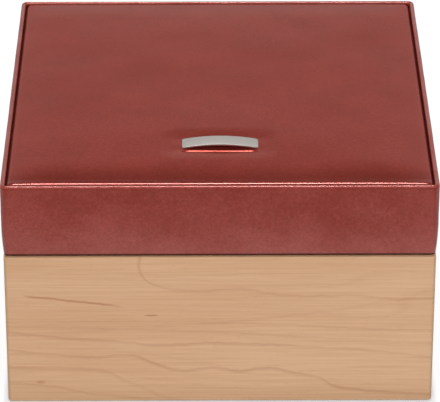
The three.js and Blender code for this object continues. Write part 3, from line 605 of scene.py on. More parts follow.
def rose_leather(name, dark, pale, pearl, depth, mottle, front_edge=None, painted_shade_at=None):
    """Rose leather: fine pebbled grain, cloudy colour, darker in the pits between the pebbles.

    Given where a panel's front edge is, only that edge is polished by handling, and behind it a band
    of painted shade darkens the leather. Given the heights of a cut edge and of a groove's mouth,
    painted shade darkens the leather at both, the lid's lower edge by its seam and the groove by the
    rim, and it shines less there. These places are in metres.
    """
    g = new_graph(name)
    where = g.place()
    clouds = g.noise(where, 42.0, 3.0, 0.55)
    flecks = g.noise(where, 520.0, 2.0, 0.6)
    pebble = g.cells(where, 1150.0)
    creases = g.noise(where, 260.0, 4.0, 0.62, 0.6)
    tone = (clouds - 0.5) * 0.9 * mottle + (flecks - 0.5) * 0.8 * mottle + 0.5
    colour = g.blend(tone.step(0.15, 0.85), dark, pale)
    colour = g.blend(pebble.step(0.25, 0.75, 0.0, 0.35), colour, LEATHER_PITS)
    height = (1.0 - pebble) * 0.6 + creases * 0.8
    polish = flecks.step(0.3, 0.7, 0.45, 0.6) * clouds.step(0.32, 0.68, 0.55, 1.45)
    rough = flecks.step(0.3, 0.7, 0.17, 0.27)
    # Painted shade: the leather darkened, and less shiny, along its lower edge by the seam and in the
    # groove by the rim
    if painted_shade_at is not None:
        foot, mouth = painted_shade_at
        across, deep, up = g.parts(where)
        groove = up.step(mouth - GROOVE_DEPTH, mouth, GROOVE_PAINTED_SHADE, 0.0)
        groove = past_outline(across, deep).step(*GROOVE_INSET) * groove
        gap_shade = (up - foot).step(*LOWER_EDGE_PAINTED_SHADE).highest(groove)
        colour = g.blend(gap_shade, colour, PAINTED_GAP_SHADE)
        polish = polish * (1.0 - gap_shade)
        rough = rough + gap_shade * 0.5
    # Painted shade: a darker band just behind the panel's front edge; the coat there is polish from
    # handling
    if front_edge is not None:
        behind = g.parts(where)[1] - front_edge
        edge_shade = behind.step(*PANEL_PAINTED_SHADE) * behind.step(*PANEL_FOLD)
        colour = g.blend(edge_shade, colour, PAINTED_EDGE_SHADE)
        polish = behind.step(*PANEL_POLISH)
    return g.surface({
        "Base Color": colour,
        "Metallic": pearl,
        "Roughness": rough,
        "Specular IOR Level": 0.6 if front_edge is None else 0.25,
        "Specular Tint": LEATHER_SHINE,
        "Coat Weight": polish,
        "Coat Roughness": 0.16,
        "Normal": g.bump(height, 0.00006 * depth, 0.6),
    })


def maple(name, turn=0.0, shift=(0.0, 0.0, 0.0), figured=False):
    """Maple: fibre along the board, wavy growth lines, short pores, a satin lacquer."""
    g = new_graph(name)
    where = g.place(turn, shift)
    along, _, up = g.parts(where)
    broad = g.noise(g.stretched(where, (5.0, 26.0, 26.0)), 1.0, 2.0)
    wander = g.noise(g.stretched(where, (9.0, 20.0, 20.0)), 1.0, 2.0, 0.45)
    fibre = g.noise(g.stretched(where, (16.0, 1100.0, 1100.0)), 1.0, 3.0, 0.6)
    fine = g.noise(g.stretched(where, (60.0, 3200.0, 3200.0)), 1.0, 2.0, 0.6)
    pores = g.noise(g.stretched(where, (190.0, 2600.0, 2600.0)), 1.0, 1.0)
    level = up * 62.0 + wander * 3.4 + broad * 1.3
    growth = abs(level.fraction() - 0.5) * 2.0
    lines = growth.step(0.80, 1.0) * broad.step(0.42, 0.62, 0.15, 1.0)
    colour = g.blend(broad.step(0.3, 0.7), rgb(0.575, 0.335, 0.188), rgb(0.655, 0.405, 0.240))
    colour = g.blend(fibre.step(0.32, 0.68, 0.0, 0.42), colour, rgb(0.500, 0.272, 0.140))
    colour = g.blend(fine.step(0.4, 0.75, 0.0, 0.28), colour, rgb(0.720, 0.470, 0.300))
    colour = g.blend(lines * (0.10 if figured else 0.30), colour, rgb(0.370, 0.165, 0.075))
    colour = g.blend(pores.step(0.68, 0.78, 0.0, 0.35), colour, rgb(0.330, 0.150, 0.070))
    if figured:
        colour = board_marks(g, colour, along, up)
    height = fibre * 0.7 + fine * 0.3 - lines * 0.2
    return g.surface({
        "Base Color": colour,
        "Roughness": fibre.step(0.3, 0.7, 0.40, 0.52),
        "Specular IOR Level": 0.35,
        "Coat Weight": broad.step(0.2, 0.8, 0.05, 0.15),
        "Coat Roughness": 0.3,
        "Normal": g.bump(height, 0.00003, 0.5),
    })


# The front board's figure lines, left to right: each point is [x, height] in millimetres.
# A long line also has its width and how dark it is.
HOOKED_LINE = [
    [-40.5, 84], [-40.9, 78.5], [-39.4, 74.5], [-36.8, 71.3], [-29, 67.5], [-23, 66.4], [-12, 65.5],
    [-3, 65.8], [8, 66.8], [21, 65], [31, 63], [56, 62.6], [69, 62.9], [88, 60.7], [109, 61.4]]
LONG_LINES = [
    ([[-109, 42.2], [-84, 38.8], [-51, 36.2], [-32, 33.7], [-24, 34.2], [-3, 35.3], [5, 34.9],
      [24, 34.4], [45, 32.6], [74, 30.9], [109, 26]], 0.50, 0.42),
    ([[-109, 47.5], [-32, 47.7], [31, 46.2], [48, 45], [74, 43.3], [109, 42.3]], 0.40, 0.26),
    ([[-109, 45], [11, 41], [45, 38.4], [109, 34.9]], 0.45, 0.26),
    ([[-109, 31.5], [-84, 28.4], [-65, 27.2], [-44, 27.6], [-35, 23.8], [-21, 19.3], [-3, 20.4],
      [8, 18.8], [24, 20.3], [40, 16.9], [51, 14.4], [60, 9.3], [86, 5.9], [109, 4.2]], 0.50, 0.50),
    ([[-109, 20.7], [-77, 20.1], [-60, 18.9], [-50, 13.9], [-38, 8], [-24, 2.1], [109, 0.5]],
     0.65, 0.34),
    ([[-109, 12], [-84, 9.2], [-62, 4.5], [109, 0.5]], 0.45, 0.26),
    ([[-109, 40], [59, 54.3], [88, 60], [109, 61]], 0.45, 0.22),
]
BOARD_LENGTH = 0.22
BOARD_HEIGHT = 0.088

# The other marks, in metres, with changes as for the leather. A spot is [x, height, half
# length, half height].
LINE_WOBBLE = 0.0016
LINE_STRENGTH = 0.8
HOOK_WIDTH = (0.0003, 0.0013, 1.0, 0.0)
HOOK_FOOT = (0.0665, 0.0685)
STREAK_START, STREAK_HEIGHT, STREAK_FALL = -0.0988, 0.0626, 0.125
STREAK_WIDTH = (0.0002, 0.0009, 1.0, 0.0)
STREAK_LEFT = (-0.102, -0.094)
STREAK_RIGHT = (-0.060, -0.046, 1.0, 0.0)
FLECK = (-0.0349, 0.0512, 0.0042, 0.00055)
KNOT = (-0.0922, 0.0120, 0.0030, 0.0011)


def figure_line(g, along, up, points, width, strength):
    """How dark a hand-drawn line is: strongest on the curve, softer below it than above."""
    curve = [(x * MILLIMETRE / BOARD_LENGTH + 0.5, z * MILLIMETRE / BOARD_HEIGHT) for x, z in points]
    run = along / BOARD_LENGTH + 0.5
    height = g.node("ShaderNodeFloatCurve", {"curve": curve}, {"Value": run}) * BOARD_HEIGHT
    off = up - height
    width = width * MILLIMETRE
    above = off.step(0.0, width * 1.6, 1.0, 0.0)
    below = off.step(-width * 4.5, 0.0, 0.0, 1.0)
    return above * below * strength


def spot(along, up, place):
    """An ellipse's own distance, squared: 0 at its middle and 1 at its edge."""
    x, height, half_length, half_height = place
    return ((along - x) / half_length) ** 2.0 + ((up - height) / half_height) ** 2.0


def board_marks(g, colour, along, up):
    """The front board's own marks: figure lines, a hook, a red streak, a fleck and a knot."""
    wobble = g.noise(g.stretched(g.place(), (150.0, 0.0, 20.0)), 1.0, 2.0)
    level = up + (wobble - 0.5) * LINE_WOBBLE
    fade = g.noise(g.stretched(g.place(), (26.0, 0.0, 60.0)), 1.0, 2.0)
    fade = fade.step(0.30, 0.62, 0.35, 1.0)
    for points, width, strength in [(HOOKED_LINE[4:], 0.45, 0.34)] + LONG_LINES:
        mark = figure_line(g, along, level, points, width, strength * LINE_STRENGTH) * fade
        start = points[0][0]
        if start > -100:
            mark = mark * along.step((start - 4) * MILLIMETRE, (start + 3) * MILLIMETRE)
        colour = g.blend(mark, colour, LINE_BROWN)
    bend = [(z * MILLIMETRE / BOARD_HEIGHT, x * MILLIMETRE / BOARD_LENGTH + 0.5)
            for x, z in HOOKED_LINE[5::-1]]
    place = g.node("ShaderNodeFloatCurve", {"curve": bend}, {"Value": level / BOARD_HEIGHT})
    off = abs(along - (place - 0.5) * BOARD_LENGTH)
    hook = off.step(*HOOK_WIDTH) * level.step(*HOOK_FOOT)
    colour = g.blend(hook * 0.26, colour, LINE_BROWN)
    streak = abs(level - STREAK_HEIGHT + (along - STREAK_START) * STREAK_FALL)
    streak = streak.step(*STREAK_WIDTH) * along.step(*STREAK_LEFT) * along.step(*STREAK_RIGHT)
    colour = g.blend(streak * 0.62, colour, STREAK_RED)
    fleck = spot(along, up, FLECK).step(0.3, 1.0, 0.75, 0.0)
    colour = g.blend(fleck, colour, LINE_BROWN)
    knot = spot(along, up, KNOT).step(0.1, 1.0, 0.5, 0.0)
    return g.blend(knot, colour, LINE_BROWN)


def velour(name, colour, shade, pile=1.0):
    """Short pile: brushed clouds, fine fibres and a soft sheen."""
    g = new_graph(name)
    where = g.place()
    brushed = g.noise(g.stretched(where, (60.0, 38.0, 60.0)), 1.0, 3.0, 0.6, 0.8)
    fibre = g.noise(where, 2600.0, 2.0, 0.7)
    mixed = brushed * 0.6 + fibre * 0.4
    return g.surface({
        "Base Color": g.blend(mixed.step(0.34, 0.66), shade, colour),
        "Roughness": fibre.step(0.3, 0.7, 0.85, 1.0),
        "Specular IOR Level": 0.1,
        "Sheen Weight": 0.35,
        "Sheen Roughness": 0.4,
        "Normal": g.bump(fibre * 0.7 + brushed * 0.5, 0.00012 * pile, 0.7),
    })


def brushed_metal(name, colour, stretch, rough, tarnish):
    """Metal brushed one way, with faint clouds of handling in its polish."""
    g = new_graph(name)
    where = g.place()
    brush = g.noise(g.stretched(where, stretch), 1.0, 3.0, 0.65)
    handled = g.noise(where, 150.0, 3.0, 0.6)
    darker = rgb(*(part * 0.72 for part in colour[:3]))
    return g.surface({
        "Base Color": g.blend(handled.step(0.35, 0.75, 0.0, tarnish) + brush * 0.12, colour, darker),
        "Metallic": 1.0,
        "Roughness": brush.step(0.3, 0.7, rough, rough + 0.12) + handled * 0.05,
        "Normal": g.bump(brush, 0.00001, 0.35),
    })


def mirror_glass(name):
    """Silvered glass with the faintest cloudiness."""
    g = new_graph(name)
    haze = g.noise(g.place(), 30.0, 3.0)
    return g.surface({
        "Base Color": g.blend(haze.step(0.3, 0.7), rgb(0.83, 0.86, 0.86), rgb(0.88, 0.90, 0.90)),
        "Metallic": 1.0,
        "Roughness": haze.step(0.4, 0.8, 0.01, 0.035),
        "Normal": g.bump(haze, 0.000002, 0.1),
    })


def thin_board(name):
    """Sanded plywood: open fibre and faint patches."""
    g = new_graph(name)
    where = g.place()
    fibre = g.noise(g.stretched(where, (30.0, 900.0, 900.0)), 1.0, 3.0, 0.6)
    patch = g.noise(where, 14.0, 2.0)
    colour = g.blend(patch.step(0.3, 0.7), rgb(0.40, 0.22, 0.105), rgb(0.48, 0.28, 0.14))
    return g.surface({
        "Base Color": g.blend(fibre.step(0.35, 0.7, 0.0, 0.5), colour, rgb(0.30, 0.15, 0.07)),
        "Roughness": fibre.step(0.3, 0.7, 0.68, 0.84),
        "Normal": g.bump(fibre, 0.00005, 0.6),
    })


def open_foam(name):
    """Upholstery foam: small open cells."""
    g = new_graph(name)
    where = g.place()
    cell = g.cells(where, 1400.0)
    patch = g.noise(where, 60.0, 2.0)
    colour = g.blend(patch.step(0.3, 0.7), rgb(0.72, 0.65, 0.50), rgb(0.80, 0.74, 0.60))
    return g.surface({
        "Base Color": g.blend(cell.step(0.2, 0.7, 0.5, 0.0), colour, rgb(0.50, 0.42, 0.29)),
        "Roughness": cell.step(0.2, 0.8, 0.85, 0.98),
        "Normal": g.bump(cell, 0.0002, 0.8),
    })


def waxed_thread(name):
    """Waxed thread: a fine twist and a dull shine."""
    g = new_graph(name)
    where = g.place()
    twist = g.noise(where, 3800.0, 1.0)
    return g.surface({
        "Base Color": g.blend(twist.step(0.35, 0.65), rgb(0.36, 0.15, 0.12), rgb(0.50, 0.26, 0.21)),
        "Roughness": twist.step(0.3, 0.7, 0.5, 0.65),
        "Normal": g.bump(twist, 0.00004, 0.6),
    })


panel_front = float(box_of("panel_leather")[0][1] - PANEL_FILL) * MILLIMETRE
band_foot = float(box_of("leather_band")[0][2] - LOWER_EDGE_DROP) * MILLIMETRE
groove_top = float(box_of("leather_band")[1][2] - GROOVE_MOUTH) * MILLIMETRE
# The band's leather carries painted shade at its lower edge and in the groove
leather_band = rose_leather(
    "rose_leather_band", LEATHER_DARK, LEATHER_PALE, pearl=0.2, depth=1.0, mottle=1.15,
    painted_shade_at=(band_foot, groove_top))
leather_tab = rose_leather(
    "rose_leather_tab", LEATHER_DARK, LEATHER_PALE, pearl=0.2, depth=1.0, mottle=1.15)
# The pad's leather carries painted shade behind its front edge
leather_pad = rose_leather(
    "rose_leather_pad", PANEL_DARK, PANEL_PALE, pearl=0.48, depth=0.8, mottle=0.8,
    front_edge=panel_front)
maple_front = maple("maple_front_board", figured=True)
maple_across = maple("maple_across", shift=(0.31, 0.02, 0.013))
maple_deep = maple("maple_front_to_back", turn=90.0, shift=(0.17, 0.05, 0.029))
lining = velour("lining_velour", rgb(0.62, 0.52, 0.43), rgb(0.50, 0.41, 0.33))
ring_velvet = velour("ring_velvet", rgb(0.60, 0.50, 0.41), rgb(0.45, 0.36, 0.29), pile=1.5)
felt = velour("pressed_felt", rgb(0.085, 0.030, 0.024), rgb(0.045, 0.017, 0.013), pile=1.8)
plate_metal = brushed_metal(
    "plate_brushed", rgb(0.70, 0.65, 0.61), (40.0, 2600.0, 2600.0), rough=0.50, tarnish=0.15)
nickel = brushed_metal(
    "hinge_nickel", rgb(0.66, 0.63, 0.60), (250.0, 3000.0, 3000.0), rough=0.30, tarnish=0.1)
silvering = mirror_glass("mirror_silvering")
plywood = thin_board("sanded_plywood")
foam = open_foam("upholstery_foam")
thread_finish = waxed_thread("waxed_thread")


# Camera


CAMERA_DISTANCE = 1.7195
CAMERA_PITCH = math.radians(27.548)
CAMERA_YAW = math.radians(0.311)
CAMERA_AIM = Vector((0.00066, 0.0, 0.05741))
CAMERA_LENS = 260.66


def make_camera():
    """The camera that the photograph's outline fits, straight at the box's middle."""
    data = bpy.data.cameras.new("camera")
    data.lens = CAMERA_LENS
    data.sensor_width = 36
    camera = bpy.data.objects.new("camera", data)
    bpy.context.scene.collection.objects.link(camera)
    level, down = math.cos(CAMERA_PITCH), math.sin(CAMERA_PITCH)
    looking = Vector((math.sin(CAMERA_YAW) * level, math.cos(CAMERA_YAW) * level, -down))
    camera.location = CAMERA_AIM - CAMERA_DISTANCE * looking
    camera.rotation_euler = looking.to_track_quat("-Z", "Y").to_euler()
    bpy.context.scene.camera = camera


make_camera()


# Lid


def lid_band():
    """The leather round the lid: one profile carried round it, softened and notched.

    The profile climbs the tucked side, turns over the rim's half round, drops into the
    groove, runs in under the panel, and comes back inside the leather to the lower edge.
    """
    low, high = box_of("leather_band")
    half, foot, top = high[:2], low[2] - LOWER_EDGE_DROP, high[2] + RIM_LIFT
    shelf = high[2] - RIM_DEPTH

    def tucked(height):
        share = np.maximum(1 - (height - foot) / TUCK_HEIGHT, 0)
        return TUCK * share * share

    climb = np.concatenate([
        np.linspace(foot + LOWER_EDGE_ROUND, foot + TUCK_HEIGHT, 14)[:-1],
        np.linspace(foot + TUCK_HEIGHT, top - RIM_WIDTH / 2, 24)])
    outside = np.stack([tucked(climb), climb], -1)
    over = arc(RIM_WIDTH / 2, 2, 0, 18)[1:] + [RIM_WIDTH / 2, top - RIM_WIDTH / 2]
    groove_foot = shelf + LEATHER
    bevel = GROOVE_ROUND * BEVEL_SHARE
    hidden = [
        [RIM_WIDTH, groove_foot + GROOVE_ROUND], [RIM_WIDTH + bevel, groove_foot + bevel],
        [RIM_WIDTH + GROOVE_ROUND, groove_foot], [FLANGE_WIDTH, groove_foot], [FLANGE_WIDTH, shelf]]
    back = climb[::-1][climb[::-1] < shelf]
    inside = np.stack([LEATHER + tucked(back) * WALL_TUCK / TUCK, back], -1)[:-2]
    turned = [[LEATHER + WALL_TUCK, foot + LEATHER], [TURN_IN, foot + LEATHER], [TURN_IN, foot]]
    lower = arc(LOWER_EDGE_ROUND, 3, 2, 5)[:-1] + [TUCK + LOWER_EDGE_ROUND, foot + LOWER_EDGE_ROUND]
    profile = np.concatenate([outside, over, hidden, inside, turned, lower])

    marks = leaf_marks("hinge_lid_leaf_right")
    across = stations(half[0] - LID_CORNER, BAND_STEP, marks)
    path = outline(across, stations(half[1] - LID_CORNER, BAND_STEP))
    points = carry(profile, path, half, LID_CORNER)

    x, y, z = points[..., 0], points[..., 1], points[..., 2]
    at_back = (path[1][:, 1] > 0.99) & (path[1][:, 1] < 1.01)
    anchor = path[0][:, 0]
    over_leaf = at_back & at_leaf(anchor, marks)
    cut = low[2] + LEAF_SEAT + LEAF_ROOM
    points[:, over_leaf, 2] = np.maximum(z[:, over_leaf], cut)

    shown = (profile[:, 0] < RIM_WIDTH) & (profile[:, 1] > foot + UNEVEN_FROM)
    shown[len(outside) + len(over):] = False
    uneven = np.abs(ripple(x, y, z, BAND_UNEVEN)) * shown[:, None]
    points[..., 0] -= uneven * path[1][:, 0]
    points[..., 1] -= uneven * path[1][:, 1]
    seam = np.exp(-((anchor / SEAM_WIDTH) ** 2)) * at_back
    points[..., 1] -= SEAM_DEPTH * seam * shown[:, None]
    faces = grid_faces(*points.shape[:2], closed_rows=True, closed_columns=True)
    make_piece("lid_leather_band", points, faces, leather_band, "lid",
               ["leather_band"], smooth=50)


plate_low, plate_high = box_of("name_plate")
plate_middle = (plate_low + plate_high) / 2 + PLATE_SEAT
plate_half = (plate_high - plate_low) / 2
panel_low, panel_high = box_of("panel_leather")
panel_half = panel_high[:2] + PANEL_FILL
lid_top = box_of("leather_band")[1][2]


def panel_top(x, y, rise=CROWN_RISE):
    """The padding's height: a crown by a parabola from each edge, a round edge, a dip at the plate."""
    edge_x, edge_y = panel_half[0] - np.abs(x), panel_half[1] - np.abs(y)
    swell = 1 - np.maximum(1 - edge_x / CROWN_REACH, 0) ** 2
    swell = swell * (1 - np.maximum(1 - edge_y / CROWN_REACH, 0) ** 2)
    away = np.maximum(PANEL_EDGE - np.maximum(np.minimum(edge_x, edge_y), 0), 0)
    drop = PANEL_EDGE - np.sqrt(np.maximum(PANEL_EDGE**2 - away**2, 0))
    beside = np.maximum(np.abs(x) - plate_half[0], 0)
    before = np.maximum(np.abs(y - plate_middle[1]) - plate_half[1], 0)
    near = np.maximum(1 - np.hypot(beside, before) / DIP_REACH, 0)
    dip = DIP_DEPTH * near * near * (3 - 2 * near)
    return lid_top + rise * swell - drop - dip


def plate_channel(x, y):
    """The leather drawn down under the plate's arch, and the thin lip before it: bell curves."""
    front = plate_middle[1] - plate_half[1]
    length = np.clip((LIP_HALF - np.abs(x)) / LIP_END, 0, 1)
    length = length * length * (3 - 2 * length)
    lip = LIP_HEIGHT * np.exp(-(((y - front + LIP_AHEAD) / LIP_SOFT) ** 2))
    channel = CHANNEL_DEPTH * np.exp(-(((y - front) / CHANNEL_SOFT) ** 2))
    return length * (lip - np.maximum(channel * (1 - (x / plate_half[0]) ** 2), 0))


def into_corner(x, y, half):
    """Grid points drawn in where they would stand outside the panel's rounded corners."""
    over_x = np.abs(x) - (half[0] - PANEL_CORNER)
    over_y = np.abs(y) - (half[1] - PANEL_CORNER)
    reach = np.maximum(np.hypot(over_x, over_y), 1e-6)
    pull = np.where((over_x > 0) & (over_y > 0), 1 - np.maximum(over_x, over_y) / reach, 0)
    return x - np.sign(x) * over_x * pull, y - np.sign(y) * over_y * pull


def border_of(rows, columns):
    """The indices round a grid's border, in order."""
    front = np.arange(columns)
    right = np.arange(1, rows) * columns + columns - 1
    back = (rows - 1) * columns + np.arange(columns - 2, -1, -1)
    left = np.arange(rows - 2, 0, -1) * columns
    return np.concatenate([front, right, back, left])


def grid_lines(half, step, edge):
    """Distances across a panel: close over its rounded edge, then even."""
    near = edge * (1 - np.cos(np.linspace(0, math.pi / 2, 9)))[:-1]
    even = np.linspace(edge, half, int((half - edge) / step) + 1)
    side = np.concatenate([near, even])
    return np.concatenate([side - half, (half - side)[::-1][1:]])


def cushion_skin(x, y, z, foot):
    """A closed skin: a grid on top, its border brought down to the foot, and a flat underside."""
    top = np.stack([x, y, z], -1)
    rows, columns = x.shape
    border = border_of(rows, columns)
    rim = top.reshape(-1, 3)[border]
    low = rim.copy()
    low[:, 2] = foot
    middle = rim.copy()
    middle[:, 2] = foot + 0.5 * (rim[:, 2] - foot)
    count = len(border)
    start = rows * columns
    faces = grid_faces(rows, columns)
    here = np.arange(count)
    after = (here + 1) % count
    upper = np.stack([border, border[after], start + after, start + here], -1)
    lower = np.stack([start + here, start + after, start + count + after, start + count + here], -1)
    faces += upper.tolist() + lower.tolist()
    faces.append((start + count + here).tolist())
    return np.concatenate([top.reshape(-1, 3), middle, low]), faces


def panel_swell(x, y):
    """How far the simulated leather stands above the crown: held at its edge, full inside it."""
    across = np.linspace(-panel_half[0], panel_half[0], PAD_GRID)
    deep = np.linspace(-panel_half[1], panel_half[1], PAD_GRID)
    grid_x, grid_y = np.meshgrid(across, deep)
    edge = np.minimum(panel_half[0] - np.abs(grid_x), panel_half[1] - np.abs(grid_y))
    drawn_x, drawn_y = into_corner(grid_x, grid_y, panel_half)
    points, faces = cushion_skin(drawn_x, drawn_y, panel_top(grid_x, grid_y), panel_low[2])
    held = np.ones(len(points), bool)
    held[:grid_x.size] = edge.ravel() < PANEL_EDGE + HELD_EDGE
    risen = (stuffed(points, faces, held, PAD_SWELL) - points)[:grid_x.size, 2]
    risen = risen.reshape(grid_x.shape)
    row = (y / panel_half[1] + 1) / 2 * (PAD_GRID - 1)
    column = (x / panel_half[0] + 1) / 2 * (PAD_GRID - 1)
    return between(risen, row, column)


def padded_panel():
    """The lid's padded panel: the leather crown, drawn down round the plate."""
    across = grid_lines(panel_half[0], PANEL_STEP, PANEL_EDGE)
    deep = grid_lines(panel_half[1], PANEL_STEP, PANEL_EDGE)
    front = plate_middle[1] - plate_half[1]
    fine = np.arange(front - LIP_AHEAD - FINE_AHEAD, front + FINE_BEHIND, FINE_STEP)
    clear = (deep < fine[0] - FINE_STEP * 0.8) | (deep > fine[-1] + FINE_STEP * 0.8)
    x, y = np.meshgrid(across, np.sort(np.concatenate([deep[clear], fine])))
    edge = np.minimum(panel_half[0] - np.abs(x), panel_half[1] - np.abs(y))
    uneven = ripple(x, y, 0 * x, PANEL_UNEVEN) * np.clip(edge / PANEL_CALM, 0, 1)
    z = panel_top(x, y) + plate_channel(x, y) + uneven + panel_swell(x, y)
    x, y = into_corner(x, y, panel_half)
    points, faces = cushion_skin(x, y, z, panel_low[2])
    pad = make_piece("padded_lid_panel", points, faces, leather_pad, "lid",
                     ["panel_leather"], smooth=60)


def panel_foam():
    """The foam under the leather: half its crown, a leather's thickness lower."""
    low, high = box_of("panel_foam")
    half = high[:2]
    across, deep = (grid_lines(side, FOAM_STEP, PANEL_EDGE) for side in half)
    x, y = np.meshgrid(across, deep)
    z = panel_top(x, y, CROWN_RISE / 2) - LEATHER - FOAM_BELOW
    x, y = into_corner(x, y, half)
    points, faces = cushion_skin(x, y, z, low[2])
    piece = make_piece("panel_foam_layer", points, faces, foam, "lid", ["panel_foam"], smooth=60)


def name_plate():
    """The bowed plate: an eased flat section carried along its arch, narrowed at the corners.

    The arch is a parabola. Near each end the section narrows on a quarter circle, so the
    plate's corners are round, and its two prongs go down through the padding.
    """
    half = plate_half[0]
    foot = plate_high[2] + PLATE_SEAT[2] - PLATE_THICKNESS - PLATE_BOW
    x, narrow = rounded_run(half, PLATE_CORNER, 9, 60)
    flat = np.array([plate_half[1], PLATE_THICKNESS / 2]) - PLATE_EASE
    section = np.concatenate([
        arc(PLATE_EASE, turn, turn + 1, 4) + flat * side + [0, PLATE_THICKNESS / 2]
        for turn, side in enumerate([[1, 1], [-1, 1], [-1, -1], [1, -1]])])
    arch = foot + PLATE_BOW * (1 - (x / half) ** 2)
    points = np.zeros((len(x), len(section), 3))
    points[..., 0] = x[:, None]
    points[..., 1] = plate_middle[1] + section[:, 0] * (1 - narrow / plate_half[1])[:, None]
    points[..., 2] = arch[:, None] + section[:, 1]
    faces = tube_faces(*points.shape[:2])
    vertices = [points.reshape(-1, 3)]
    path = outline(np.array([0.0]), np.linspace(-1, 1, 3), 3)
    tip = plate_low[2]
    levels = [[PRONG_EASE, tip], [0, tip + PRONG_EASE], [0, arch[0] + PLATE_THICKNESS / 2]]
    for sign in (-1, 1):
        prong = carry(levels, path, (PRONG_THICKNESS / 2, PRONG_WIDTH / 2), PRONG_EASE, least=0.1)
        prong[..., :2] += [sign * (half - PRONG_INSET), plate_middle[1]]
        start = sum(len(part) for part in vertices)
        faces += [[start + i for i in face] for face in tube_faces(*prong.shape[:2])]
        vertices.append(prong.reshape(-1, 3))
    vertices = np.concatenate(vertices) + [plate_middle[0], 0, 0]
    make_piece("bowed_name_plate", vertices, faces, plate_metal, "lid",
               ["name_plate"], smooth=35)


def mirror_frame():
    """The mirror's maple frame: a rounded outside, a flat face and a lip over the glass."""
    low, high = box_of("mirror_frame")
    half = high[:2]
    foot, top = low[2], high[2]
    glass_low, glass_high = box_of("mirror")
    reach = half[0] - glass_high[0]
    lip_top = glass_low[2] - FRAME_LIP / 2
    outside = arc(FRAME_ROUND, 2, 3, 8) + [FRAME_ROUND, foot + FRAME_ROUND]
    face = FRAME_FACE + [reach, foot]
    rebate = reach - FRAME_LIP
    inside = [[face[-1, 0], lip_top], [rebate, lip_top], [rebate, top], [0, top]]
    profile = np.concatenate([outside, face, inside])
    across, deep = (stations(side - FRAME_CORNER, FRAME_STEP) for side in half)
    points = carry(profile, outline(across, deep, 14), half, FRAME_CORNER)
    faces = grid_faces(*points.shape[:2], closed_rows=True, closed_columns=True)
    make_piece("mirror_frame_moulding", points, faces, maple_across, "lid",
               ["mirror_frame"], smooth=35)


# Case


def case_walls():
    """Four mitred boards: one profile carried from each corner's middle to the next.

    The profile climbs the outside with a round foot and an eased rim, and comes down the
    inside past the rebate. The back board is cut down for the hinge leaves.
    """
    low, high = box_of("case_front_wall")
    half = np.array([high[0], -low[1]]) + CASE_SWELL
    foot, rim = low[2], high[2]
    rebate_top = box_of("base_panel")[1][2] + BASE_ROOM
    under = arc(FOOT_ROUND, 3, 2, 6) + [FOOT_ROUND, foot + FOOT_ROUND]
    climb = [[0, z] for z in np.linspace(foot + FOOT_ROUND, rim - RIM_ROUND, 10)[1:-1]]
    over = arc(RIM_ROUND, 2, 1, 5) + [RIM_ROUND, rim - RIM_ROUND]
    inside = [
        [LEAF_DEPTH - CLOSE, rim], [LEAF_DEPTH + CLOSE, rim], [CASE_WALL - INNER_EASE, rim],
        [CASE_WALL, rim - INNER_EASE], [CASE_WALL, rebate_top], [CASE_WALL - CASE_REBATE, rebate_top],
        [CASE_WALL - CASE_REBATE, foot]]
    profile = np.concatenate([under, climb, over, inside])
    marks = leaf_marks("hinge_case_leaf_right")
    corner_steps = 11
    across = stations(half[0] - CASE_WALL - 1, CASE_STEP, marks)
    deep = stations(half[1] - CASE_WALL - 1, CASE_STEP)
    path = outline(across, deep, corner_steps)
    points = carry(profile, path, half, CASE_CORNER, least=0.05)
    total = points.shape[1]
    lengths = [len(across), len(deep), len(across), len(deep)]
    names = ["front", "right", "back", "left"]
    finishes = [maple_front, maple_deep, maple_across, maple_deep]
    start, mid = 0, corner_steps // 2
    for side, (name, length, finish) in enumerate(zip(names, lengths, finishes)):
        columns = np.arange(start - corner_steps + mid, start + length + mid + 1) % total
        wall = points[:, columns].copy()
        turn = side * math.pi / 2
        for end, sign in ((0, 1), (-1, -1)):
            wall[:, end, 0] += sign * MITRE_GAP / 2 * math.cos(turn)
            wall[:, end, 1] += sign * MITRE_GAP / 2 * math.sin(turn)
        if name == "back":
            cut = (profile[:, 0] < LEAF_DEPTH)[:, None] & at_leaf(path[0][columns, 0], marks)
            wall[..., 2] = np.where(cut, np.minimum(wall[..., 2], rim - LEAF_SEAT), wall[..., 2])
        rows, count = wall.shape[:2]
        faces = grid_faces(rows, count, closed_rows=True)
        faces.append([row * count for row in range(rows)])
        faces.append([row * count + count - 1 for row in range(rows)])
        make_piece(f"case_{name}_board", wall, faces, finish, "case",
                   [f"case_{name}_wall"], smooth=35)
        start += length + corner_steps


def inner_fittings():
    """The linings, dividers, runners and pads of the case, and the lid's linings."""
    for name in ("front", "back", "left", "right"):
        board(f"case_lining_{name}_velour", f"case_lining_{name}", lining, "case")
        board(f"lid_lining_{name}_velour", f"lid_lining_{name}", lining, "lid", hanging=True)
    divider = box_of("lower_divider_right")
    crossing = (divider[0][0] + divider[1][0]) / 2
    board("cross_divider_velour", "lower_divider_cross", lining, "case",
          notches=[(-crossing, DIVIDER_NOTCH), (crossing, DIVIDER_NOTCH)])
    for name in ("left", "right"):
        board(f"{name}_divider_velour", f"lower_divider_{name}", lining, "case",
              notches=[(0, DIVIDER_NOTCH)], from_top=False)
        board(f"{name}_tray_runner", f"tray_runner_{name}", maple_deep, "case", top=1.5)
    pad = slab("floor_pad_velour", "floor_pad", lining, "case",
               corner=1.5, edge=1.0, crown=0.25)
    slab("ceiling_velour", "lid_ceiling_lining", lining, "lid", corner=1, edge=0.5)
    slab("base_felt_sheet", "base_felt", felt, "case", corner=2, edge=0.3)


# Tray


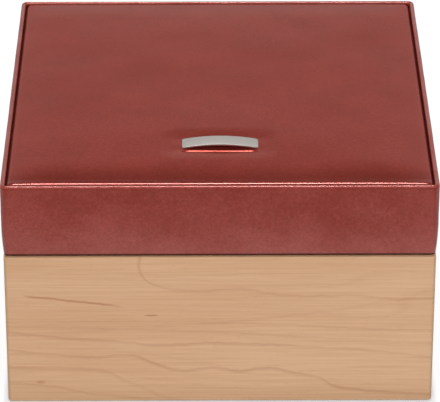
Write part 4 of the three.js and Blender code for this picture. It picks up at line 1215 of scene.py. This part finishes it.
def ring_roll(number):
    """A firm roll: a half-round section carried along X, rounded and gathered at its ends.

    Near each end the section draws in on a quarter circle, with a fine groove where the
    velvet is gathered, a bell curve. The cloth simulation then fills the roll out.
    """
    node = f"ring_roll_{number}"
    low, high = box_of(node)
    length, width, tall = high - low
    half = width / 2
    head = arc(half, 0, 2, 28) + [0, tall - half]
    foot_left = arc(ROLL_EASE, 2, 3, 6) + [-half + ROLL_EASE, ROLL_EASE]
    foot_right = arc(ROLL_EASE, 3, 4, 6) + [half - ROLL_EASE, ROLL_EASE]
    section = np.concatenate([head, foot_left, foot_right])
    x, drawn = rounded_run(length / 2, ROLL_END, 10, 50)
    gather = (np.abs(x) - length / 2 + ROLL_END + GATHER_INSET) / GATHER_WIDTH
    drawn = drawn + GATHER_DEPTH * np.exp(-(gather**2))
    points = np.zeros((len(x), len(section), 3))
    points[..., 0] = x[:, None]
    points[..., 1] = section[:, 0] * (1 - drawn / half)[:, None]
    points[..., 2] = tall / 2 + (section[:, 1] - tall / 2) * (1 - drawn / (tall / 2))[:, None]
    sag = ripple(points[..., 0] * 2 + 17 * number, points[..., 1] * 2, points[..., 2] * 3, ROLL_UNEVEN)
    points[..., 2] -= np.abs(sag) * np.clip(points[..., 2] / tall, 0, 1)
    points[..., 1:] *= 1 - ROLL_SWELL / half
    faces = tube_faces(*points.shape[:2])
    held = (points[..., 2] < ROLL_FOOT) | (np.abs(points[..., 0]) > length / 2 - HELD_EDGE)
    points = stuffed(points.reshape(-1, 3), faces, held.ravel(), ROLL_SWELL)
    points = points + [(low[0] + high[0]) / 2, (low[1] + high[1]) / 2, low[2]]
    roll = make_piece(f"ring_roll_velvet_{number}", points, faces, ring_velvet, "tray",
                      [node], smooth=70)


def pull_tab():
    """The tray's leather tab: a strip with a round top, its edges eased, and its stitches."""
    low, high = box_of("pull_tab")
    half = (high[0] - low[0]) / 2
    tall, thick = high[2] - low[2], high[1] - low[1]
    top = arc(half, 0, 2, 24) + [0, tall - half]
    left = np.stack([np.full(8, -half), np.linspace(tall - half, TAB_CORNER, 9)[1:]], -1)
    low_left = arc(TAB_CORNER, 2, 3, 4)[1:] + [TAB_CORNER - half, TAB_CORNER]
    low_right = arc(TAB_CORNER, 3, 4, 4) + [half - TAB_CORNER, TAB_CORNER]
    right = np.stack([np.full(7, half), np.linspace(TAB_CORNER, tall - half, 9)[1:-1]], -1)
    edge = np.concatenate([top, left, low_left, low_right, right])
    tangent = np.roll(edge, -1, 0) - np.roll(edge, 1, 0)
    normal = np.stack([tangent[:, 1], -tangent[:, 0]], -1)
    normal /= np.linalg.norm(normal, axis=1)[:, None]
    bevel = TAB_EASE * BEVEL_SHARE
    face = [(TAB_EASE + TAB_MIDDLE, 0.0), (TAB_EASE, 0.0), (bevel, bevel), (0.0, TAB_EASE)]
    rows = []
    for inset, depth in face + [(inset, thick - depth) for inset, depth in face[::-1]]:
        ring = edge - normal * inset
        deep = np.full(len(ring), low[1] + depth)
        rows.append(np.stack([ring[:, 0], deep, low[2] + ring[:, 1]], -1))
    points = np.stack(rows)
    make_piece("tray_pull_tab", points, tube_faces(*points.shape[:2]), leather_tab, "tray",
               ["pull_tab"], smooth=50)
    stitches(edge - normal * STITCH_INSET, low)


def stitches(line, low):
    """Thread along a closed line: one small ellipsoid for each stitch, laid on the leather."""
    steps = np.linalg.norm(np.roll(line, -1, 0) - line, axis=1)
    run = np.concatenate([[0], np.cumsum(steps)])
    closed = np.concatenate([line, line[:1]])
    count = int(run[-1] / STITCH_PITCH)
    at = np.arange(count) * run[-1] / count

    def on_line(where):
        return np.array([np.interp(where, run, closed[:, 0]), np.interp(where, run, closed[:, 1])])

    x, z = on_line(at)
    ahead = on_line((at + STITCH_LENGTH / 5) % run[-1]) - [x, z]
    ahead = ahead / np.hypot(*ahead)
    along = np.stack([ahead[0], 0 * x, ahead[1]], -1)[:, None, None]
    aside = np.stack([-ahead[1], 0 * x, ahead[0]], -1)[:, None, None]
    centre = np.stack([x, np.full(count, low[1] - THREAD_SUNK), low[2] + z], -1)[:, None, None]
    rows, columns = 7, 8
    around = np.linspace(0, 2 * math.pi, columns + 1)[:-1]
    over = np.linspace(0, math.pi, rows)[:, None]
    ball_u = (np.cos(over) * np.ones(columns))[..., None]
    ball_v = (np.sin(over) * np.cos(around))[..., None]
    ball_w = (np.sin(over) * np.sin(around))[..., None]
    points = centre + along * ball_u * STITCH_LENGTH / 2 + aside * ball_v * THREAD_RADIUS
    points = points + np.array([0, -1, 0]) * ball_w * THREAD_RADIUS
    single = grid_faces(rows, columns, closed_columns=True)
    faces = [[i + rows * columns * number for i in face] for number in range(count) for face in single]
    make_piece("pull_tab_stitches", points, faces, thread_finish, "tray", (), smooth=60)


def tray_fittings():
    """The tray's boards, dividers, floor, ring rolls and tab."""
    for name in ("front", "back", "left", "right"):
        finish = maple_across if name in ("front", "back") else maple_deep
        board(f"tray_{name}_board", f"tray_{name}_wall", finish, "tray")
    for name in ("long", "short"):
        board(f"tray_{name}_divider_velour", f"tray_divider_{name}", lining, "tray")
    slab("tray_floor_velour", "tray_floor", lining, "tray", corner=0.6, edge=0.3)
    for number in range(1, 6):
        ring_roll(number)
    pull_tab()


# Hinges


def screw(node, body, angle):
    """A slotted countersunk screw: a round grid whose head is pressed down along its slot."""
    low, high = box_of(node)
    radius, length = (high[0] - low[0]) / 2, high[2] - low[2]
    up, face = (1, high[2]) if body == "case" else (-1, low[2])
    head = np.linspace(0, 1, 18)[1:] * (radius - SCREW_EASE)
    profile = np.array([(r, 0.0) for r in head] + [
        (radius, -SCREW_EASE), (SHANK_RADIUS, -SCREW_NECK),
        (SHANK_RADIUS, SCREW_TIP - length), (SCREW_POINT, -length)])
    r, depth = profile[:, 0, None], profile[:, 1, None]
    turn = np.linspace(0, 2 * math.pi, 65)[:-1]
    x, y = r * np.cos(turn), r * np.sin(turn)
    aside = np.abs(x * math.sin(angle) - y * math.cos(angle))
    slot = np.clip((SLOT_HALF - aside) / SLOT_WALL, 0, 1) * SLOT_DEPTH
    z = np.where(depth > -CLOSE, -slot, depth + 0 * x)
    points = np.stack([x + (low[0] + high[0]) / 2, y + (low[1] + high[1]) / 2, face + up * z], -1)
    make_piece(node.replace("hinge_", "slotted_"), points, tube_faces(*points.shape[:2]), nickel,
               body, [node], smooth=30)


def hinge_screws():
    """Four screws in the case and four in the lid, their slots turned at random-looking angles."""
    for number in range(1, 5):
        screw(f"hinge_case_screw_{number}", "case", 0.7 * number)
        screw(f"hinge_lid_screw_{number}", "lid", 1.1 * number)


# Studio


# The floor, the fades in what it mirrors, with a painted shadow close to the box, and the room's
# light, with changes as above.
FLOOR_REACH = 6.0
FLOOR_BELOW = 0.00005
FLOOR_WHITE = 1.09
FLOOR_SEEN = (0.0, 1.0, 0.0, 0.76)
FLOOR_MIRRORED = 0.16
FLOOR_BOUNCE = (0.0, 1.0, 0.0, 0.55)
CONTACT_SHADE = (0.0, 0.003, 0.6, 0.0)
MIRRORED_FADE = 0.18
FADE_AHEAD = (-0.444, -0.164, 0.85, 0.0)
NEAR_PAINTED_SHADOW = (0.0, 0.045, 0.5, 0.0)
FADE_ASIDE = (0.13, 0.30, 0.0, 0.45)
MIRRORED_LOW = (0.04, 0.30, 0.28, 0.62)
MIRRORED_HIGH = (0.30, 0.76, 1.0, 0.16)
FILL_BY_HEIGHT = (0.0, 0.8, 1.0, 0.0)
FILL_BY_DEPTH = (-0.7, 0.7, 0.25, 0.45)
FILL_TOP = 0.06
SOFTBOX_SIZE = (3.0, 1.9)


def ray_kinds(g):
    """Whether a ray is the eye's own, mirrored, let through, or one of soft light: 0 or 1 each."""
    told = g.node("ShaderNodeLightPath").socket.node.outputs
    kinds = ("Camera", "Glossy", "Transmission", "Diffuse")
    return [Value(g, told[f"Is {kind} Ray"]) for kind in kinds]


def stage_floor():
    """A pale floor: lit like any other surface, and near white to the eye and in reflections; in
    reflections it dims ahead and aside, and a painted shadow darkens it close to the box.
    """
    g = new_graph("studio_floor")
    eye, gloss, through, soft = ray_kinds(g)
    aside, ahead, _ = g.parts(g.place())
    outside = past_outline(aside, ahead)
    seen = (eye + gloss + through).step(*FLOOR_SEEN)
    seen = (seen + gloss * FLOOR_MIRRORED) * (1.0 - eye * outside.step(*CONTACT_SHADE))
    # What the floor mirrors dims ahead and to the sides, and close to the box a painted shadow darkens
    # it
    fade = ahead.step(*FADE_AHEAD) + MIRRORED_FADE + outside.step(*NEAR_PAINTED_SHADOW)
    fade = gloss * (fade + abs(aside).step(*FADE_ASIDE))
    paper = g.noise(g.place(), 3.0)
    tint = g.blend(paper, rgb(0.84, 0.84, 0.84), rgb(0.86, 0.86, 0.86))
    tint = g.blend(soft.step(*FLOOR_BOUNCE), tint, BLACK)
    matt = g.node("ShaderNodeBsdfDiffuse", None, {"Color": tint})
    glow = g.node("ShaderNodeEmission", None, {"Color": WHITE, "Strength": FLOOR_WHITE - fade})
    both = g.node("ShaderNodeMixShader", None, {0: seen, 1: matt, 2: glow})
    g.node("ShaderNodeOutputMaterial", None, {"Surface": both})
    mesh = bpy.data.meshes.new("studio_floor")
    corners = [(x * FLOOR_REACH, y * FLOOR_REACH, 0) for x, y in ((-1, -1), (1, -1), (1, 1), (-1, 1))]
    mesh.from_pydata(corners, [], [(0, 1, 2, 3)])
    mesh.materials.append(g.owner)
    floor = bpy.data.objects.new("studio_floor", mesh)
    floor.location.z = cad_box[0].z - FLOOR_BELOW
    bpy.context.scene.collection.objects.link(floor)


def studio_world():
    """White to the eye; in reflections white near the horizon and dim above; a soft fill."""
    world = bpy.data.worlds.new("studio")
    bpy.context.scene.world = world
    g = Graph(world)
    eye, gloss, through, _ = ray_kinds(g)
    _, depth, height = g.parts(g.node("ShaderNodeTexCoord", output=0))
    mirrored = height.step(*MIRRORED_LOW) * height.step(*MIRRORED_HIGH)
    fill = 1.0 - (eye + gloss + through).step(0.0, 1.0)
    around = height.step(*FILL_BY_HEIGHT) * depth.step(*FILL_BY_DEPTH) + FILL_TOP
    strength = eye + through + gloss * mirrored + fill * around
    shade = g.node("ShaderNodeBackground", None, {"Color": WHITE, "Strength": strength})
    g.node("ShaderNodeOutputWorld", None, {"Surface": shade})


def lamp(name, place, size, power, mirrored, aim=(0.0, 0.0, 0.06)):
    """A soft rectangular lamp aimed at the box, which a polished surface may mirror or not."""
    data = bpy.data.lights.new(name, "AREA")
    data.shape = "RECTANGLE"
    data.size, data.size_y = size
    data.energy = power
    light = bpy.data.objects.new(name, data)
    light.location = place
    light.visible_glossy = mirrored
    towards = Vector(aim) - Vector(place)
    light.rotation_euler = towards.to_track_quat("-Z", "Y").to_euler()
    bpy.context.scene.collection.objects.link(light)


# The whole box, its studio, and a finish for the solids that stay


lid_band()
padded_panel()
panel_foam()
name_plate()
mirror_frame()
case_walls()
inner_fittings()
tray_fittings()
hinge_screws()

stage_floor()
studio_world()
lamp("overhead_strip", (0.0, 0.0, 1.5), (0.62, 0.2), 12.5, True)
lamp("front_softbox", (0.0, -1.6, 1.0), SOFTBOX_SIZE, 41, False)
lamp("back_softbox", (0.0, 1.6, 1.0), SOFTBOX_SIZE, 24, False)
bpy.context.scene.view_settings.view_transform = "Standard"

FINISHES = {
    "maple": maple_across, "plywood": plywood, "rose_leather": leather_tab, "foam": foam,
    "lining": lining, "ring_velvet": ring_velvet, "felt": felt, "plate_metal": plate_metal,
    "hinge_metal": nickel, "mirror_glass": silvering,
}
for part in frame["record"]["subparts"]:
    node = frame["nodes"][part["node"]]
    finish = FINISHES[part["material_slot"]]
    if part["node"] in ("lid_left_wall", "lid_right_wall"):
        finish = maple_deep
    for slot in node.material_slots:
        slot.material = finish
